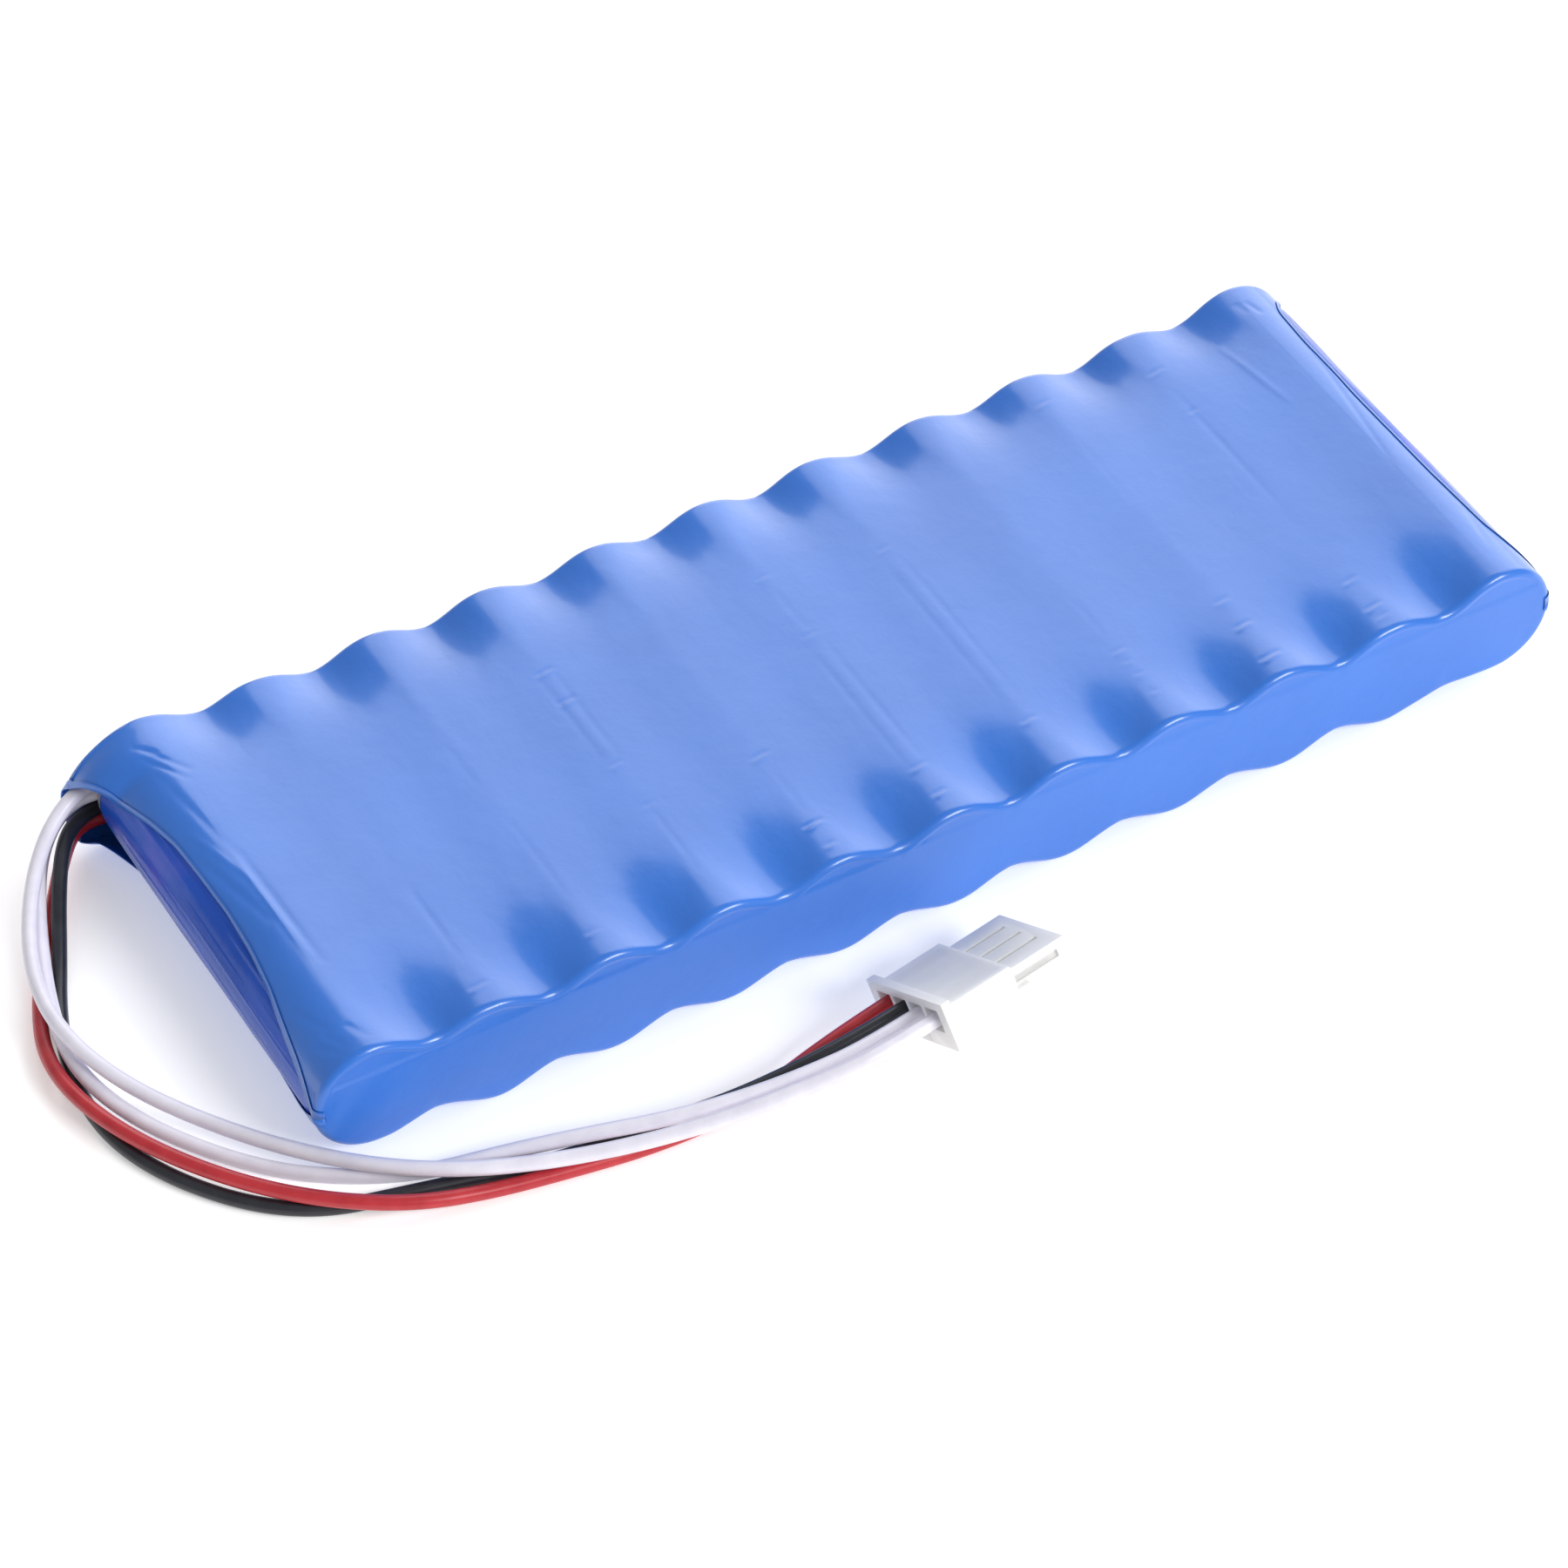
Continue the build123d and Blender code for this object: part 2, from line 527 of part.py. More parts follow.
for name, points in inner_routes.items():
    if len(points) == 2:
        with BuildPart() as inner_lead:
            with BuildSketch(Plane(origin=points[0], x_dir=(0, 1, 0), z_dir=(-1, 0, 0))):
                Circle(WIRE_DIAMETER / 2)
            extrude(amount=points[0][0] - points[1][0])
    else:
        inner_lead, _ = tube(points, WIRE_DIAMETER, tight_radii(points, LEAD_BEND))
    save(inner_lead, f"inner_lead_{name}")

with BuildPart() as solder_joints:
    blob_start = ROW_Y + LINK_FACE
    red_joint = (RED_JOINT_X, blob_start, LEAD_HEIGHTS["red"])
    with BuildSketch(Plane(origin=red_joint, x_dir=(1, 0, 0), z_dir=(0, 1, 0))):
        Circle(SOLDER_WIDTH / 2)
    extrude(amount=BOARD_FACE - LINK_FACE + WIRE_GAP, taper=20)
    blob_y = ROW_Y - CELL_LENGTH / 2 + 3.6
    with BuildSketch(Plane.XY.offset(tongue_z + LINK_THICKNESS)):
        with Locations((GROOVE_X, blob_y)):
            Ellipse(SOLDER_WIDTH / 2, SOLDER_WIDTH)
    extrude(amount=WIRE_GAP)
save(solder_joints, "solder_joints")

SENSOR_Z = AXIS_Z + END_LIFT / 2 + SENSOR_ABOVE_AXIS
SENSOR_Y = ROW_Y + SENSOR_FROM_MIDDLE
with BuildPart() as sensor_bead:
    with BuildSketch(Plane(origin=(GROOVE_X, SENSOR_Y, SENSOR_Z), x_dir=(1, 0, 0), z_dir=(0, -1, 0))):
        Circle(SENSOR_BEAD_DIAMETER / 2)
    extrude(amount=SENSOR_BEAD_LENGTH)
    fillet(sensor_bead.edges().group_by(Axis.Y)[0], SENSOR_BEAD_DIAMETER / 2 - 0.1)
save(sensor_bead, "sensor_bead")

sensor_leg_tubes = []
for side, lead in ((1, "white_a"), (-1, "white_b")):
    x = GROOVE_X + side * SENSOR_LEG_SPACING / 2
    y = LEAD_Y + side * SENSOR_LEG_SPACING / 2
    leg_points = [
        (x, SENSOR_Y, SENSOR_Z),
        (x, y, SENSOR_Z),
        (x - SENSOR_LEG_DROP_LENGTH, y, LEAD_HEIGHTS[lead]),
        (SPLICE_X + SPLICE_LEG_STRAIGHT, LEAD_Y, LEAD_HEIGHTS[lead]),
        (SPLICE_X, LEAD_Y, LEAD_HEIGHTS[lead]),
    ]
    leg, _ = tube(leg_points, SENSOR_LEG_DIAMETER, tight_radii(leg_points, SENSOR_LEG_BEND))
    sensor_leg_tubes.append(leg.part)
with BuildPart() as sensor_legs:
    add(sensor_leg_tubes)
save(sensor_legs, "sensor_legs")

with BuildPart() as splice_sleeves:
    for lead in ("white_a", "white_b"):
        start = (SPLICE_X + 0.02, LEAD_Y, LEAD_HEIGHTS[lead])
        with BuildSketch(Plane(origin=start, x_dir=(0, 1, 0), z_dir=(1, 0, 0))):
            Circle(SPLICE_DIAMETER / 2)
            Circle(SENSOR_LEG_DIAMETER / 2 + 0.02, mode=Mode.SUBTRACT)
        extrude(amount=SPLICE_LENGTH - SPLICE_END_SHORT)
save(splice_sleeves, "splice_sleeves")

# ---------------------------------------------------------------- plug


def plug_axes():
    """Unit vectors of the plug: along its length, across it and up through it."""
    yaw, nose_up, roll = (math.radians(a) for a in (PLUG_YAW, PLUG_NOSE_UP, PLUG_ROLL))
    along = Vector(math.cos(yaw) * math.cos(nose_up), math.sin(yaw) * math.cos(nose_up), math.sin(nose_up))
    level = Vector(-math.sin(yaw), math.cos(yaw), 0)
    upright = along.cross(level)
    left = level * math.cos(roll) + upright * math.sin(roll)
    return along, -left, along.cross(left)


ALONG, ACROSS, UP = plug_axes()
# The plug leans on the lower corner of its flange.
plug_lowest = (
    ALONG.Z * -FLANGE_THICKNESS
    - abs(ACROSS.Z) * (PLUG_WIDTH / 2 + FLANGE_SIDE)
    - UP.Z * FLANGE_OVERHANG
)
PLUG_ORIGIN = Vector(*PLUG_ORIGIN_XY, PLUG_GROUND_GAP - plug_lowest)


def plug_point(along, across, up):
    return PLUG_ORIGIN + ALONG * along + ACROSS * across + UP * up


def plug_section(along):
    """A plane across the plug, with its X running across and its Y up."""
    return Plane(origin=plug_point(along, 0, 0), x_dir=-ACROSS, z_dir=ALONG)


def plug_box(along, length, across, width, bottom, top, mode=Mode.ADD):
    with BuildSketch(plug_section(along)) as section:
        with Locations((-across, (bottom + top) / 2)):
            Rectangle(width, top - bottom)
    extrude(section.sketch, amount=length, mode=mode)


circuit_places = [(number - (CIRCUITS - 1) / 2) * PLUG_PITCH for number in range(CIRCUITS)]
circuit_order = ["red", "black", "white_b", "white_a"]
NOSE_WIDTH = PLUG_WIDTH - 2 * NOSE_INSET
RAIL_PLACE = PLUG_WIDTH / 2 - RAIL_WIDTH / 2
CUT = 0.5  # overrun of a cut past the face it opens
with BuildPart() as plug_housing:
    plug_box(0, PLUG_BODY_LENGTH, 0, PLUG_WIDTH, 0, PLUG_HEIGHT)
    fillet(plug_housing.edges().filter_by(Axis(PLUG_ORIGIN, ALONG)), PLUG_EDGE_FILLET)
    plug_box(
        -FLANGE_THICKNESS,
        FLANGE_THICKNESS,
        0,
        PLUG_WIDTH + 2 * FLANGE_SIDE,
        -FLANGE_OVERHANG,
        PLUG_HEIGHT + FLANGE_OVERHANG,
    )
    plug_box(PLUG_BODY_LENGTH, NOSE_LENGTH, 0, NOSE_WIDTH, NOSE_BOTTOM, NOSE_TOP)
    for rail in (-RAIL_PLACE, RAIL_PLACE):
        plug_box(PLUG_BODY_LENGTH, RAIL_LENGTH, rail, RAIL_WIDTH, RAIL_BOTTOM, NOSE_BOTTOM + RAIL_HEIGHT)
    for place in circuit_places:
        plug_box(
            -FLANGE_THICKNESS - CUT,
            PLUG_BODY_LENGTH + FLANGE_THICKNESS,
            place,
            CAVITY_WIDTH,
            CAVITY_BOTTOM,
            CAVITY_TOP,
            Mode.SUBTRACT,
        )
        plug_box(
            PLUG_BODY_LENGTH - 2 * CUT,
            NOSE_LENGTH + 3 * CUT,
            place,
            NOSE_BORE_WIDTH,
            NOSE_BORE_BOTTOM,
            NOSE_BORE_TOP,
            Mode.SUBTRACT,
        )
    for between in range(CIRCUITS - 1):
        place = (circuit_places[between] + circuit_places[between + 1]) / 2
        plug_box(
            PLUG_BODY_LENGTH + GROOVE_START,
            NOSE_LENGTH - GROOVE_SHORT_OF_NOSE,
            place,
            GROOVE_WIDTH,
            NOSE_TOP - GROOVE_DEPTH,
            NOSE_TOP + CUT,
            Mode.SUBTRACT,
        )
    for side in (-1, 1):
        plug_box(
            PLUG_BODY_LENGTH + SIDE_SLOT_START,
            SIDE_SLOT_LENGTH,
            side * (NOSE_WIDTH / 2 - SIDE_SLOT_DEPTH / 2 + CUT / 2),
            SIDE_SLOT_DEPTH + CUT,
            SIDE_SLOT_BOTTOM,
            SIDE_SLOT_BOTTOM + SIDE_SLOT_HEIGHT,
            Mode.SUBTRACT,
        )
    # the lever's channel under the body, open at both ends and through the flange
    plug_box(
        -FLANGE_THICKNESS - CUT,
        PLUG_BODY_LENGTH + FLANGE_THICKNESS + 2 * CUT,
        0,
        LEVER_CHANNEL_WIDTH,
        -FLANGE_OVERHANG - CUT,
        LEVER_CHANNEL_DEPTH,
        Mode.SUBTRACT,
    )
save(plug_housing, "plug_housing")

LEVER_WIDTH = LEVER_CHANNEL_WIDTH - 2 * LEVER_SIDE_GAP
LEVER_BOTTOM = 0.0
LEVER_TOP = LEVER_BOTTOM + LEVER_THICKNESS
LEVER_REAR = -FLANGE_THICKNESS
LEVER_FRONT = PLUG_BODY_LENGTH + LEVER_PAST_BODY
with BuildPart() as latch_lever:
    plug_box(LEVER_REAR, LEVER_FRONT - LEVER_REAR, 0, LEVER_WIDTH, LEVER_BOTTOM, LEVER_TOP)
    # thumb pad at the back and catch at the front
    plug_box(LEVER_REAR, THUMB_PAD_LENGTH, 0, LEVER_WIDTH, -FLANGE_OVERHANG, LEVER_BOTTOM)
    plug_box(
        LEVER_FRONT - CATCH_LENGTH,
        CATCH_LENGTH,
        0,
        LEVER_WIDTH,
        LEVER_BOTTOM - CATCH_DEPTH,
        LEVER_BOTTOM,
    )
    # the two webs that twist in the channel's side walls
    plug_box(
        LEVER_PIVOT - WEB_HALF_LENGTH,
        2 * WEB_HALF_LENGTH,
        0,
        LEVER_CHANNEL_WIDTH - WEB_SHORT_OF_CHANNEL,
        LEVER_BOTTOM,
        LEVER_TOP,
    )
save(latch_lever, "latch_lever")

for place, lead in zip(circuit_places, circuit_order):
    with BuildPart() as contact:
        barrel_radius = WIRE_DIAMETER / 2 + CONTACT_WALL
        with BuildSketch(plug_section(BARREL_START)):
            with Locations((-place, CAVITY_MIDDLE)):
                Circle(barrel_radius)
                Circle(CONDUCTOR_DIAMETER / 2, mode=Mode.SUBTRACT)
        extrude(amount=BARREL_LENGTH)
        box_bottom = NOSE_BORE_BOTTOM + CONTACT_CLEARANCE
        box_top = NOSE_BORE_TOP - CONTACT_CLEARANCE
        box_width = NOSE_BORE_WIDTH - 2 * CONTACT_CLEARANCE
        neck_start = BARREL_START + BARREL_LENGTH - CONTACT_WALL
        neck_length = CONTACT_BOX_START - neck_start
        plug_box(neck_start, neck_length, place, NECK_WIDTH, box_bottom, box_bottom + NECK_HEIGHT)
        plug_box(CONTACT_BOX_START, CONTACT_BOX_LENGTH, place, box_width, box_bottom, box_top)
        plug_box(
            CONTACT_BOX_START + 3 * CONTACT_WALL,
            CONTACT_BOX_LENGTH,
            place,
            box_width - 4 * CONTACT_WALL,
            box_bottom + 2 * CONTACT_WALL,
            box_top - 2 * CONTACT_WALL,
            Mode.SUBTRACT,
        )
    save(contact, f"contact_{lead}")

# ---------------------------------------------------------------- free wires


def easy_radii(points):
    """For each corner, the largest arc that its two runs allow."""
    radii = []
    for before, here, after in zip(points, points[1:], points[2:]):
        first, second = Vector(*here) - Vector(*before), Vector(*after) - Vector(*here)
        turn = math.radians(first.get_angle(second))
        radii.append(0.45 * min(first.length, second.length) / math.tan(turn / 2))
    return radii


free_routes = {
    "red": RED_ROUTE,
    "black": BLACK_ROUTE,
    "white_a": WHITE_A_ROUTE,
    "white_b": WHITE_B_ROUTE,
}
for place, lead in zip(circuit_places, circuit_order):
    exit_point = (EXIT_X, LEAD_Y, LEAD_HEIGHTS[lead])
    before_plug = plug_point(-FLANGE_THICKNESS - LAST_STRAIGHT, place, CAVITY_MIDDLE)
    in_plug = plug_point(BARREL_START, place, CAVITY_MIDDLE)
    route = [exit_point, *free_routes[lead], tuple(before_plug), tuple(in_plug)]
    radii = easy_radii(route)
    wire, length = tube(route, WIRE_DIAMETER, radii)
    section = math.pi * (WIRE_DIAMETER / 2) ** 2
    share = wire.part.volume / (section * length)
    print(f"wire_{lead}: length {length:.1f}, volume over section times length {share:.4f}")
    print("  radii", [round(radius, 1) for radius in radii])
    print("  end points", [tuple(round(c, 2) for c in before_plug), tuple(round(c, 2) for c in in_plug)])
    save(wire, f"wire_{lead}")
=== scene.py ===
# %% [markdown]
# # A shrink-wrapped battery pack
# The object is a flat row of round cells in a tight blue film. Four wires leave the film at one
# corner, swing round the row and end in a small nylon plug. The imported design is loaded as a
# fixed frame: everything made here is placed by asking the frame where its parts are.

# %% Load the frame
import math

import bmesh
import bpy
import numpy as np
from mathutils import Matrix, Vector


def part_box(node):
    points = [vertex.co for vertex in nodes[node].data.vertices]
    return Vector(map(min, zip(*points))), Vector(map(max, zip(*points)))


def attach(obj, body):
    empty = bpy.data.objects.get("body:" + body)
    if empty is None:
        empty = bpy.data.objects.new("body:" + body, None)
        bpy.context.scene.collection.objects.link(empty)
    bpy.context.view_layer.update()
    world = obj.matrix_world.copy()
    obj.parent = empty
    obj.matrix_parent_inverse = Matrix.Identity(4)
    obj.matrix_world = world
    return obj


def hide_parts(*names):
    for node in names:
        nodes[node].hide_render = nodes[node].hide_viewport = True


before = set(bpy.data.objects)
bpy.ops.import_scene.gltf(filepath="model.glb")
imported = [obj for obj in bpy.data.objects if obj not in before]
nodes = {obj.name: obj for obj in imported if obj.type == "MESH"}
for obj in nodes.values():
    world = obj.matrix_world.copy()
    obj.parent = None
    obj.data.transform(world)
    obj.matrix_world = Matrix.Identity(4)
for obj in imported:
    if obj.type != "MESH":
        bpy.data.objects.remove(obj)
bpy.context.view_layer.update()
MM = 0.001

# %% [markdown]
# ## Camera
# A product shot like this is taken from far away with a long lens, so that the near and far
# cells look almost the same size. The camera is placed by its direction from the pack, how
# high it stands, and a small roll.

# %% Camera
CAMERA_PLACE = Vector((-0.29342, -0.53679, 0.60266))
CAMERA_AZIMUTH = math.radians(-28.105)
CAMERA_HEIGHT = math.radians(44.911)
CAMERA_ROLL = math.radians(-1.778)
LENS = 144.94


def camera_axes():
    """Right, up and backward directions of a camera that looks at the pack."""
    back = Vector(
        (
            math.sin(CAMERA_AZIMUTH) * math.cos(CAMERA_HEIGHT),
            -math.cos(CAMERA_AZIMUTH) * math.cos(CAMERA_HEIGHT),
            math.sin(CAMERA_HEIGHT),
        )
    )
    level = Vector((math.cos(CAMERA_AZIMUTH), math.sin(CAMERA_AZIMUTH), 0))
    upright = back.cross(level)
    right = level * math.cos(CAMERA_ROLL) + upright * math.sin(CAMERA_ROLL)
    return right, back.cross(right), back


camera_data = bpy.data.cameras.new("studio_camera")
camera_data.lens = LENS
camera_data.sensor_width = 36
camera = bpy.data.objects.new("studio_camera", camera_data)
bpy.context.scene.collection.objects.link(camera)
camera.matrix_world = Matrix(camera_axes()).transposed().to_4x4()
camera.location = CAMERA_PLACE
bpy.context.scene.camera = camera
print("camera at", tuple(camera.location))

# %% [markdown]
# ## Helpers for materials
# Each finish is a Principled shader with patterns wired into its colour, roughness and bump.
# Two small helpers keep those recipes short.

# %% Material helpers


def new_finish(name, colour, roughness, **sockets):
    """A material with one Principled shader; sockets are set straight on the shader."""
    material = bpy.data.materials.new(name)
    material.use_nodes = True
    shader = material.node_tree.nodes["Principled BSDF"]
    shader.inputs["Base Color"].default_value = (*colour, 1)
    shader.inputs["Roughness"].default_value = roughness
    for socket, value in sockets.items():
        shader.inputs[socket.replace("_", " ")].default_value = value
    return material, material.node_tree, shader


def add_noise(tree, scale, detail=3.0, stretch=(1, 1, 1), roughness=0.5):
    """A noise pattern in object space, stretched along the axes; gives its Fac output."""
    where = tree.nodes.new("ShaderNodeTexCoord")
    mapping = tree.nodes.new("ShaderNodeMapping")
    mapping.inputs["Scale"].default_value = stretch
    noise = tree.nodes.new("ShaderNodeTexNoise")
    noise.inputs["Scale"].default_value = scale
    noise.inputs["Detail"].default_value = detail
    noise.inputs["Roughness"].default_value = roughness
    tree.links.new(where.outputs["Object"], mapping.inputs["Vector"])
    tree.links.new(mapping.outputs["Vector"], noise.inputs["Vector"])
    return noise.outputs["Fac"]


def add_ramp(tree, value, stops):
    """A colour ramp over value; stops are (position, (r, g, b)) pairs."""
    ramp = tree.nodes.new("ShaderNodeValToRGB")
    elements = ramp.color_ramp.elements
    while len(elements) < len(stops):
        elements.new(0.5)
    for element, (position, colour) in zip(elements, stops):
        element.position = position
        element.color = (*colour, 1)
    tree.links.new(value, ramp.inputs["Fac"])
    return ramp.outputs["Color"]


def add_range(tree, value, low, high):
    """value, from 0 to 1, mapped to low ... high."""
    node = tree.nodes.new("ShaderNodeMapRange")
    node.inputs["To Min"].default_value = low
    node.inputs["To Max"].default_value = high
    tree.links.new(value, node.inputs["Value"])
    return node.outputs["Result"]


def add_bump(tree, shader, heights, strength=1.0):
    """Bumps one after another: heights are (value, distance in metres) pairs."""
    normal = None
    for value, distance in heights:
        bump = tree.nodes.new("ShaderNodeBump")
        bump.inputs["Strength"].default_value = strength
        bump.inputs["Distance"].default_value = distance
        tree.links.new(value, bump.inputs["Height"])
        if normal is not None:
            tree.links.new(normal, bump.inputs["Normal"])
        normal = bump.outputs["Normal"]
    tree.links.new(normal, shader.inputs["Normal"])


def paint(piece, material):
    """Give a piece one material and no other."""
    piece.data.materials.clear()
    piece.data.materials.append(material)


# %% [markdown]
# ## Wires
# Each wire is a stranded copper core in a glossy vinyl coat, 2.1 mm across. A wire that lies
# free is one smooth curve, so each is a NURBS line through a short list of places: out of the
# film, down to the ground, round the corner and up into the plug. Where two wires cross, the
# upper one rides over in a long low hump. A round bevel gives the line its thickness.

# %% Wire routes
WIRE_DIAMETER = 2.1 * MM
ROUTES = {
    "red": [
        (-89.0, 33.6, 4.6), (-92.2, 33.6, 4.6), (-94.8, 33.8, 4.5), (-97.2, 33.0, 4.3),
        (-100.1, 30.0, 3.4), (-104.4, 24.0, 2.0), (-109.5, 16.2, 1.1), (-113.6, 8.6, 1.1),
        (-116.6, 0.0, 2.2), (-116.8, -8.8, 3.3), (-114.2, -17.8, 3.4), (-109.6, -26.6, 3.3),
        (-103.0, -35.6, 3.3), (-95.4, -42.8, 3.3), (-86.6, -47.7, 2.6), (-77.0, -49.6, 1.3),
        (-66.6, -51.4, 1.1), (-56.6, -53.0, 1.1), (-47.6, -53.4, 1.2), (-39.2, -53.0, 2.4),
        (-27.22, -51.29, 4.79), (-16.55, -49.79, 5.55),
    ],
    "black": [
        (-89.0, 33.6, 6.9), (-92.2, 33.6, 6.9), (-95.3, 32.6, 7.2), (-98.2, 30.8, 7.5),
        (-101.0, 27.6, 6.8), (-104.1, 22.2, 4.5), (-107.6, 14.9, 1.9), (-111.2, 7.4, 1.1),
        (-114.0, -0.6, 1.1), (-115.4, -9.4, 1.1), (-114.6, -18.4, 1.1), (-110.8, -27.4, 1.1),
        (-104.2, -36.2, 1.1), (-96.6, -41.6, 1.1), (-88.2, -43.8, 1.1), (-79.4, -46.0, 1.1),
        (-70.0, -48.5, 1.1), (-60.4, -50.1, 1.7), (-51.0, -51.9, 3.0), (-42.0, -53.6, 4.1),
        (-26.88, -54.72, 6.73), (-16.21, -53.22, 7.49),
    ],
    "white_a": [
        (-89.0, 33.6, 11.7), (-92.3, 33.6, 11.7), (-95.6, 33.0, 11.3), (-98.9, 31.7, 10.4),
        (-102.8, 28.9, 8.9), (-107.0, 23.9, 7.0), (-110.8, 16.9, 5.8), (-113.4, 9.0, 5.9),
        (-114.4, 1.0, 6.6), (-113.0, -6.4, 5.8), (-109.6, -13.6, 4.4), (-104.2, -21.4, 3.1),
        (-97.6, -30.4, 3.0), (-89.6, -39.3, 3.5), (-80.4, -45.9, 3.6), (-69.9, -50.4, 3.5),
        (-59.2, -54.2, 4.3), (-49.4, -57.2, 5.8), (-40.3, -59.3, 7.5), (-32.1, -60.9, 9.3),
        (-26.19, -61.59, 10.61), (-15.52, -60.09, 11.36),
    ],
    "white_b": [
        (-89.0, 33.6, 9.4), (-92.2, 33.6, 9.4), (-95.4, 34.2, 8.8), (-98.5, 33.75, 7.6),
        (-101.5, 31.6, 6.3), (-104.4, 27.8, 5.0), (-107.2, 22.0, 4.0), (-109.9, 15.0, 3.4),
        (-112.2, 8.0, 3.3), (-114.0, 0.4, 3.4), (-114.2, -7.4, 3.3), (-111.6, -15.4, 2.4),
        (-106.6, -23.6, 1.6), (-99.6, -32.0, 1.1), (-91.6, -38.2, 1.1), (-82.6, -42.4, 1.1),
        (-73.0, -45.6, 2.6), (-63.6, -49.2, 4.0), (-53.8, -52.9, 4.9), (-44.4, -55.6, 6.1),
        (-35.6, -57.4, 7.5), (-26.53, -58.16, 8.67), (-15.86, -56.66, 9.42),
    ],
}

# %% [markdown]
# ### Wires as bevelled curves
# The curve's own bevel is 1 m thick and every place carries the wire's true radius, so the curve
# also reports its true size.

# %% Wires as bevelled curves
ROUND_STEPS = 6  # of the bevel, round a quarter of the wire
LONG_STEPS = 14  # between two places of a route


def new_wire(name, places):
    """An open NURBS curve through the places, as thick as the wire."""
    curve = bpy.data.curves.new(f"{name}_wire", "CURVE")
    curve.dimensions = "3D"
    curve.bevel_depth = 1.0
    curve.bevel_resolution = ROUND_STEPS
    curve.resolution_u = LONG_STEPS
    curve.use_fill_caps = True
    spline = curve.splines.new("NURBS")
    spline.points.add(len(places) - 1)
    for point, (x, y, z) in zip(spline.points, places):
        point.co = (x * MM, y * MM, z * MM, 1)
        point.radius = WIRE_DIAMETER / 2
    spline.order_u = 3
    spline.use_endpoint_u = True
    wire = bpy.data.objects.new(f"{name}_wire", curve)
    bpy.context.scene.collection.objects.link(wire)
    return wire


wires = {}
for name, places in ROUTES.items():
    wire = new_wire(name, places)
    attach(wire, "pack")
    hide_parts(f"wire_{name}")
    wires[name] = wire
print("wires:", sorted(wires))

# %% [markdown]
# ## The film
# The blue film is a wide flat tube of heat-shrink. The row of cells is pushed in from one end,
# then hot air shrinks the tube until it grips. It ends up touching the crest of every cell, it
# dips between the cells, deepest close to the two rims, and both of its open ends curl over
# the outer cells and stay open as a long lens-shaped mouth.
#
# A cloth simulation could do this, but a film this tight has a shape that a few formulas say
# exactly, so the sheet is made as one grid. Columns run round the row from mouth to mouth.
# Rows run round a column: over the top, down the near face, under, and up the far face.

# %% [markdown]
# ### Measures of the row
# The places of the cells and of the two faces are read from the design, so the film fits the
# cells whatever their size.

# %% Measures of the row, read from the frame
film_low, film_high = (np.array(corner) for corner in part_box("film_sleeve"))
can_boxes = [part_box(name) for name in sorted(nodes) if name.startswith("cell_can")]
CELL_X = np.array([(low[0] + high[0]) / 2 for low, high in can_boxes])
CELL_Z = np.array([(low[2] + high[2]) / 2 for low, high in can_boxes])
PITCH = CELL_X[1] - CELL_X[0]
FILM_RADIUS = film_high[0] - CELL_X[-1]
NEAR_Y = film_low[1]
FAR_Y = film_high[1]
RIM = 1.1 * MM  # rounding of the film over the rims of the cells
print("pitch", PITCH, "film radius", FILM_RADIUS, "faces at", NEAR_Y, FAR_Y)

# %% [markdown]
# ### The dips between cells
# Half way along the cells the film spans from crest to crest almost like a drum skin. Near a
# rim it is pulled down hard. Seen across the row, the film is a round crest, a straight flank
# that leaves the crest at some slope, and a rounded trough. Only the slope changes along the
# cells, so one function of (distance from the crest, slope) gives every section.

# %% Dips
MIDDLE_SLOPE = 0.032
RIM_SLOPE = 0.49
SLOPE_REACH = 8.0 * MM  # how far from a rim the deep part of a dip reaches
SLOPE_FALL = 1.6  # how sharply the slope falls off past that reach
TROUGH_ROUND = 2.6 * MM
rng = np.random.default_rng(11)
dip_strength = rng.uniform(0.9, 1.06, len(CELL_X) - 1)
# the underside is flatter, most of all under the last groove, where the black lead lies
UNDER_SHARE = 0.8
OVER_LEAD_STRENGTH = 0.28
under_strength = UNDER_SHARE * dip_strength
under_strength[-1] = OVER_LEAD_STRENGTH


def smooth(t):
    """An even step from 0 to 1, level at both ends."""
    t = np.clip(t, 0, 1)
    return t * t * (3 - 2 * t)


def flank_slope(y):
    """Slope of the flanks at a place along the cells: steep at both rims, slight between."""
    from_rim = np.minimum(y - NEAR_Y, FAR_Y - y)
    return MIDDLE_SLOPE + (RIM_SLOPE - MIDDLE_SLOPE) * np.exp(-((from_rim / SLOPE_REACH) ** SLOPE_FALL))


def drop(away, slope):
    """How far the film is below a crest, at a distance away from it across the row."""
    half = PITCH / 2
    on_crest = away**2 / (2 * FILM_RADIUS)
    on_flank = slope * away - FILM_RADIUS * slope**2 / 2
    to_trough = half - away
    rounding = slope * (to_trough**2 / (2 * TROUGH_ROUND) + TROUGH_ROUND / 2)
    in_trough = slope * half - FILM_RADIUS * slope**2 / 2 - rounding
    level = np.where(away < FILM_RADIUS * slope, on_crest, on_flank)
    return np.where(to_trough < TROUGH_ROUND, in_trough, level)


print("dip at the rim", drop(PITCH / 2, RIM_SLOPE) / MM, "mm")
print("dip half way along the cells", drop(PITCH / 2, MIDDLE_SLOPE) / MM, "mm")

# %% [markdown]
# ### The mouths
# At each end of the row the film stops on the outer side of the last cell. Its lip is given by
# an angle round that cell, from the level of the axis upwards, at a few places along the cell.
# It is highest half way and comes down to the level of the axis at both rims, except at the far
# left corner, where the wires come out and the lips stay apart.

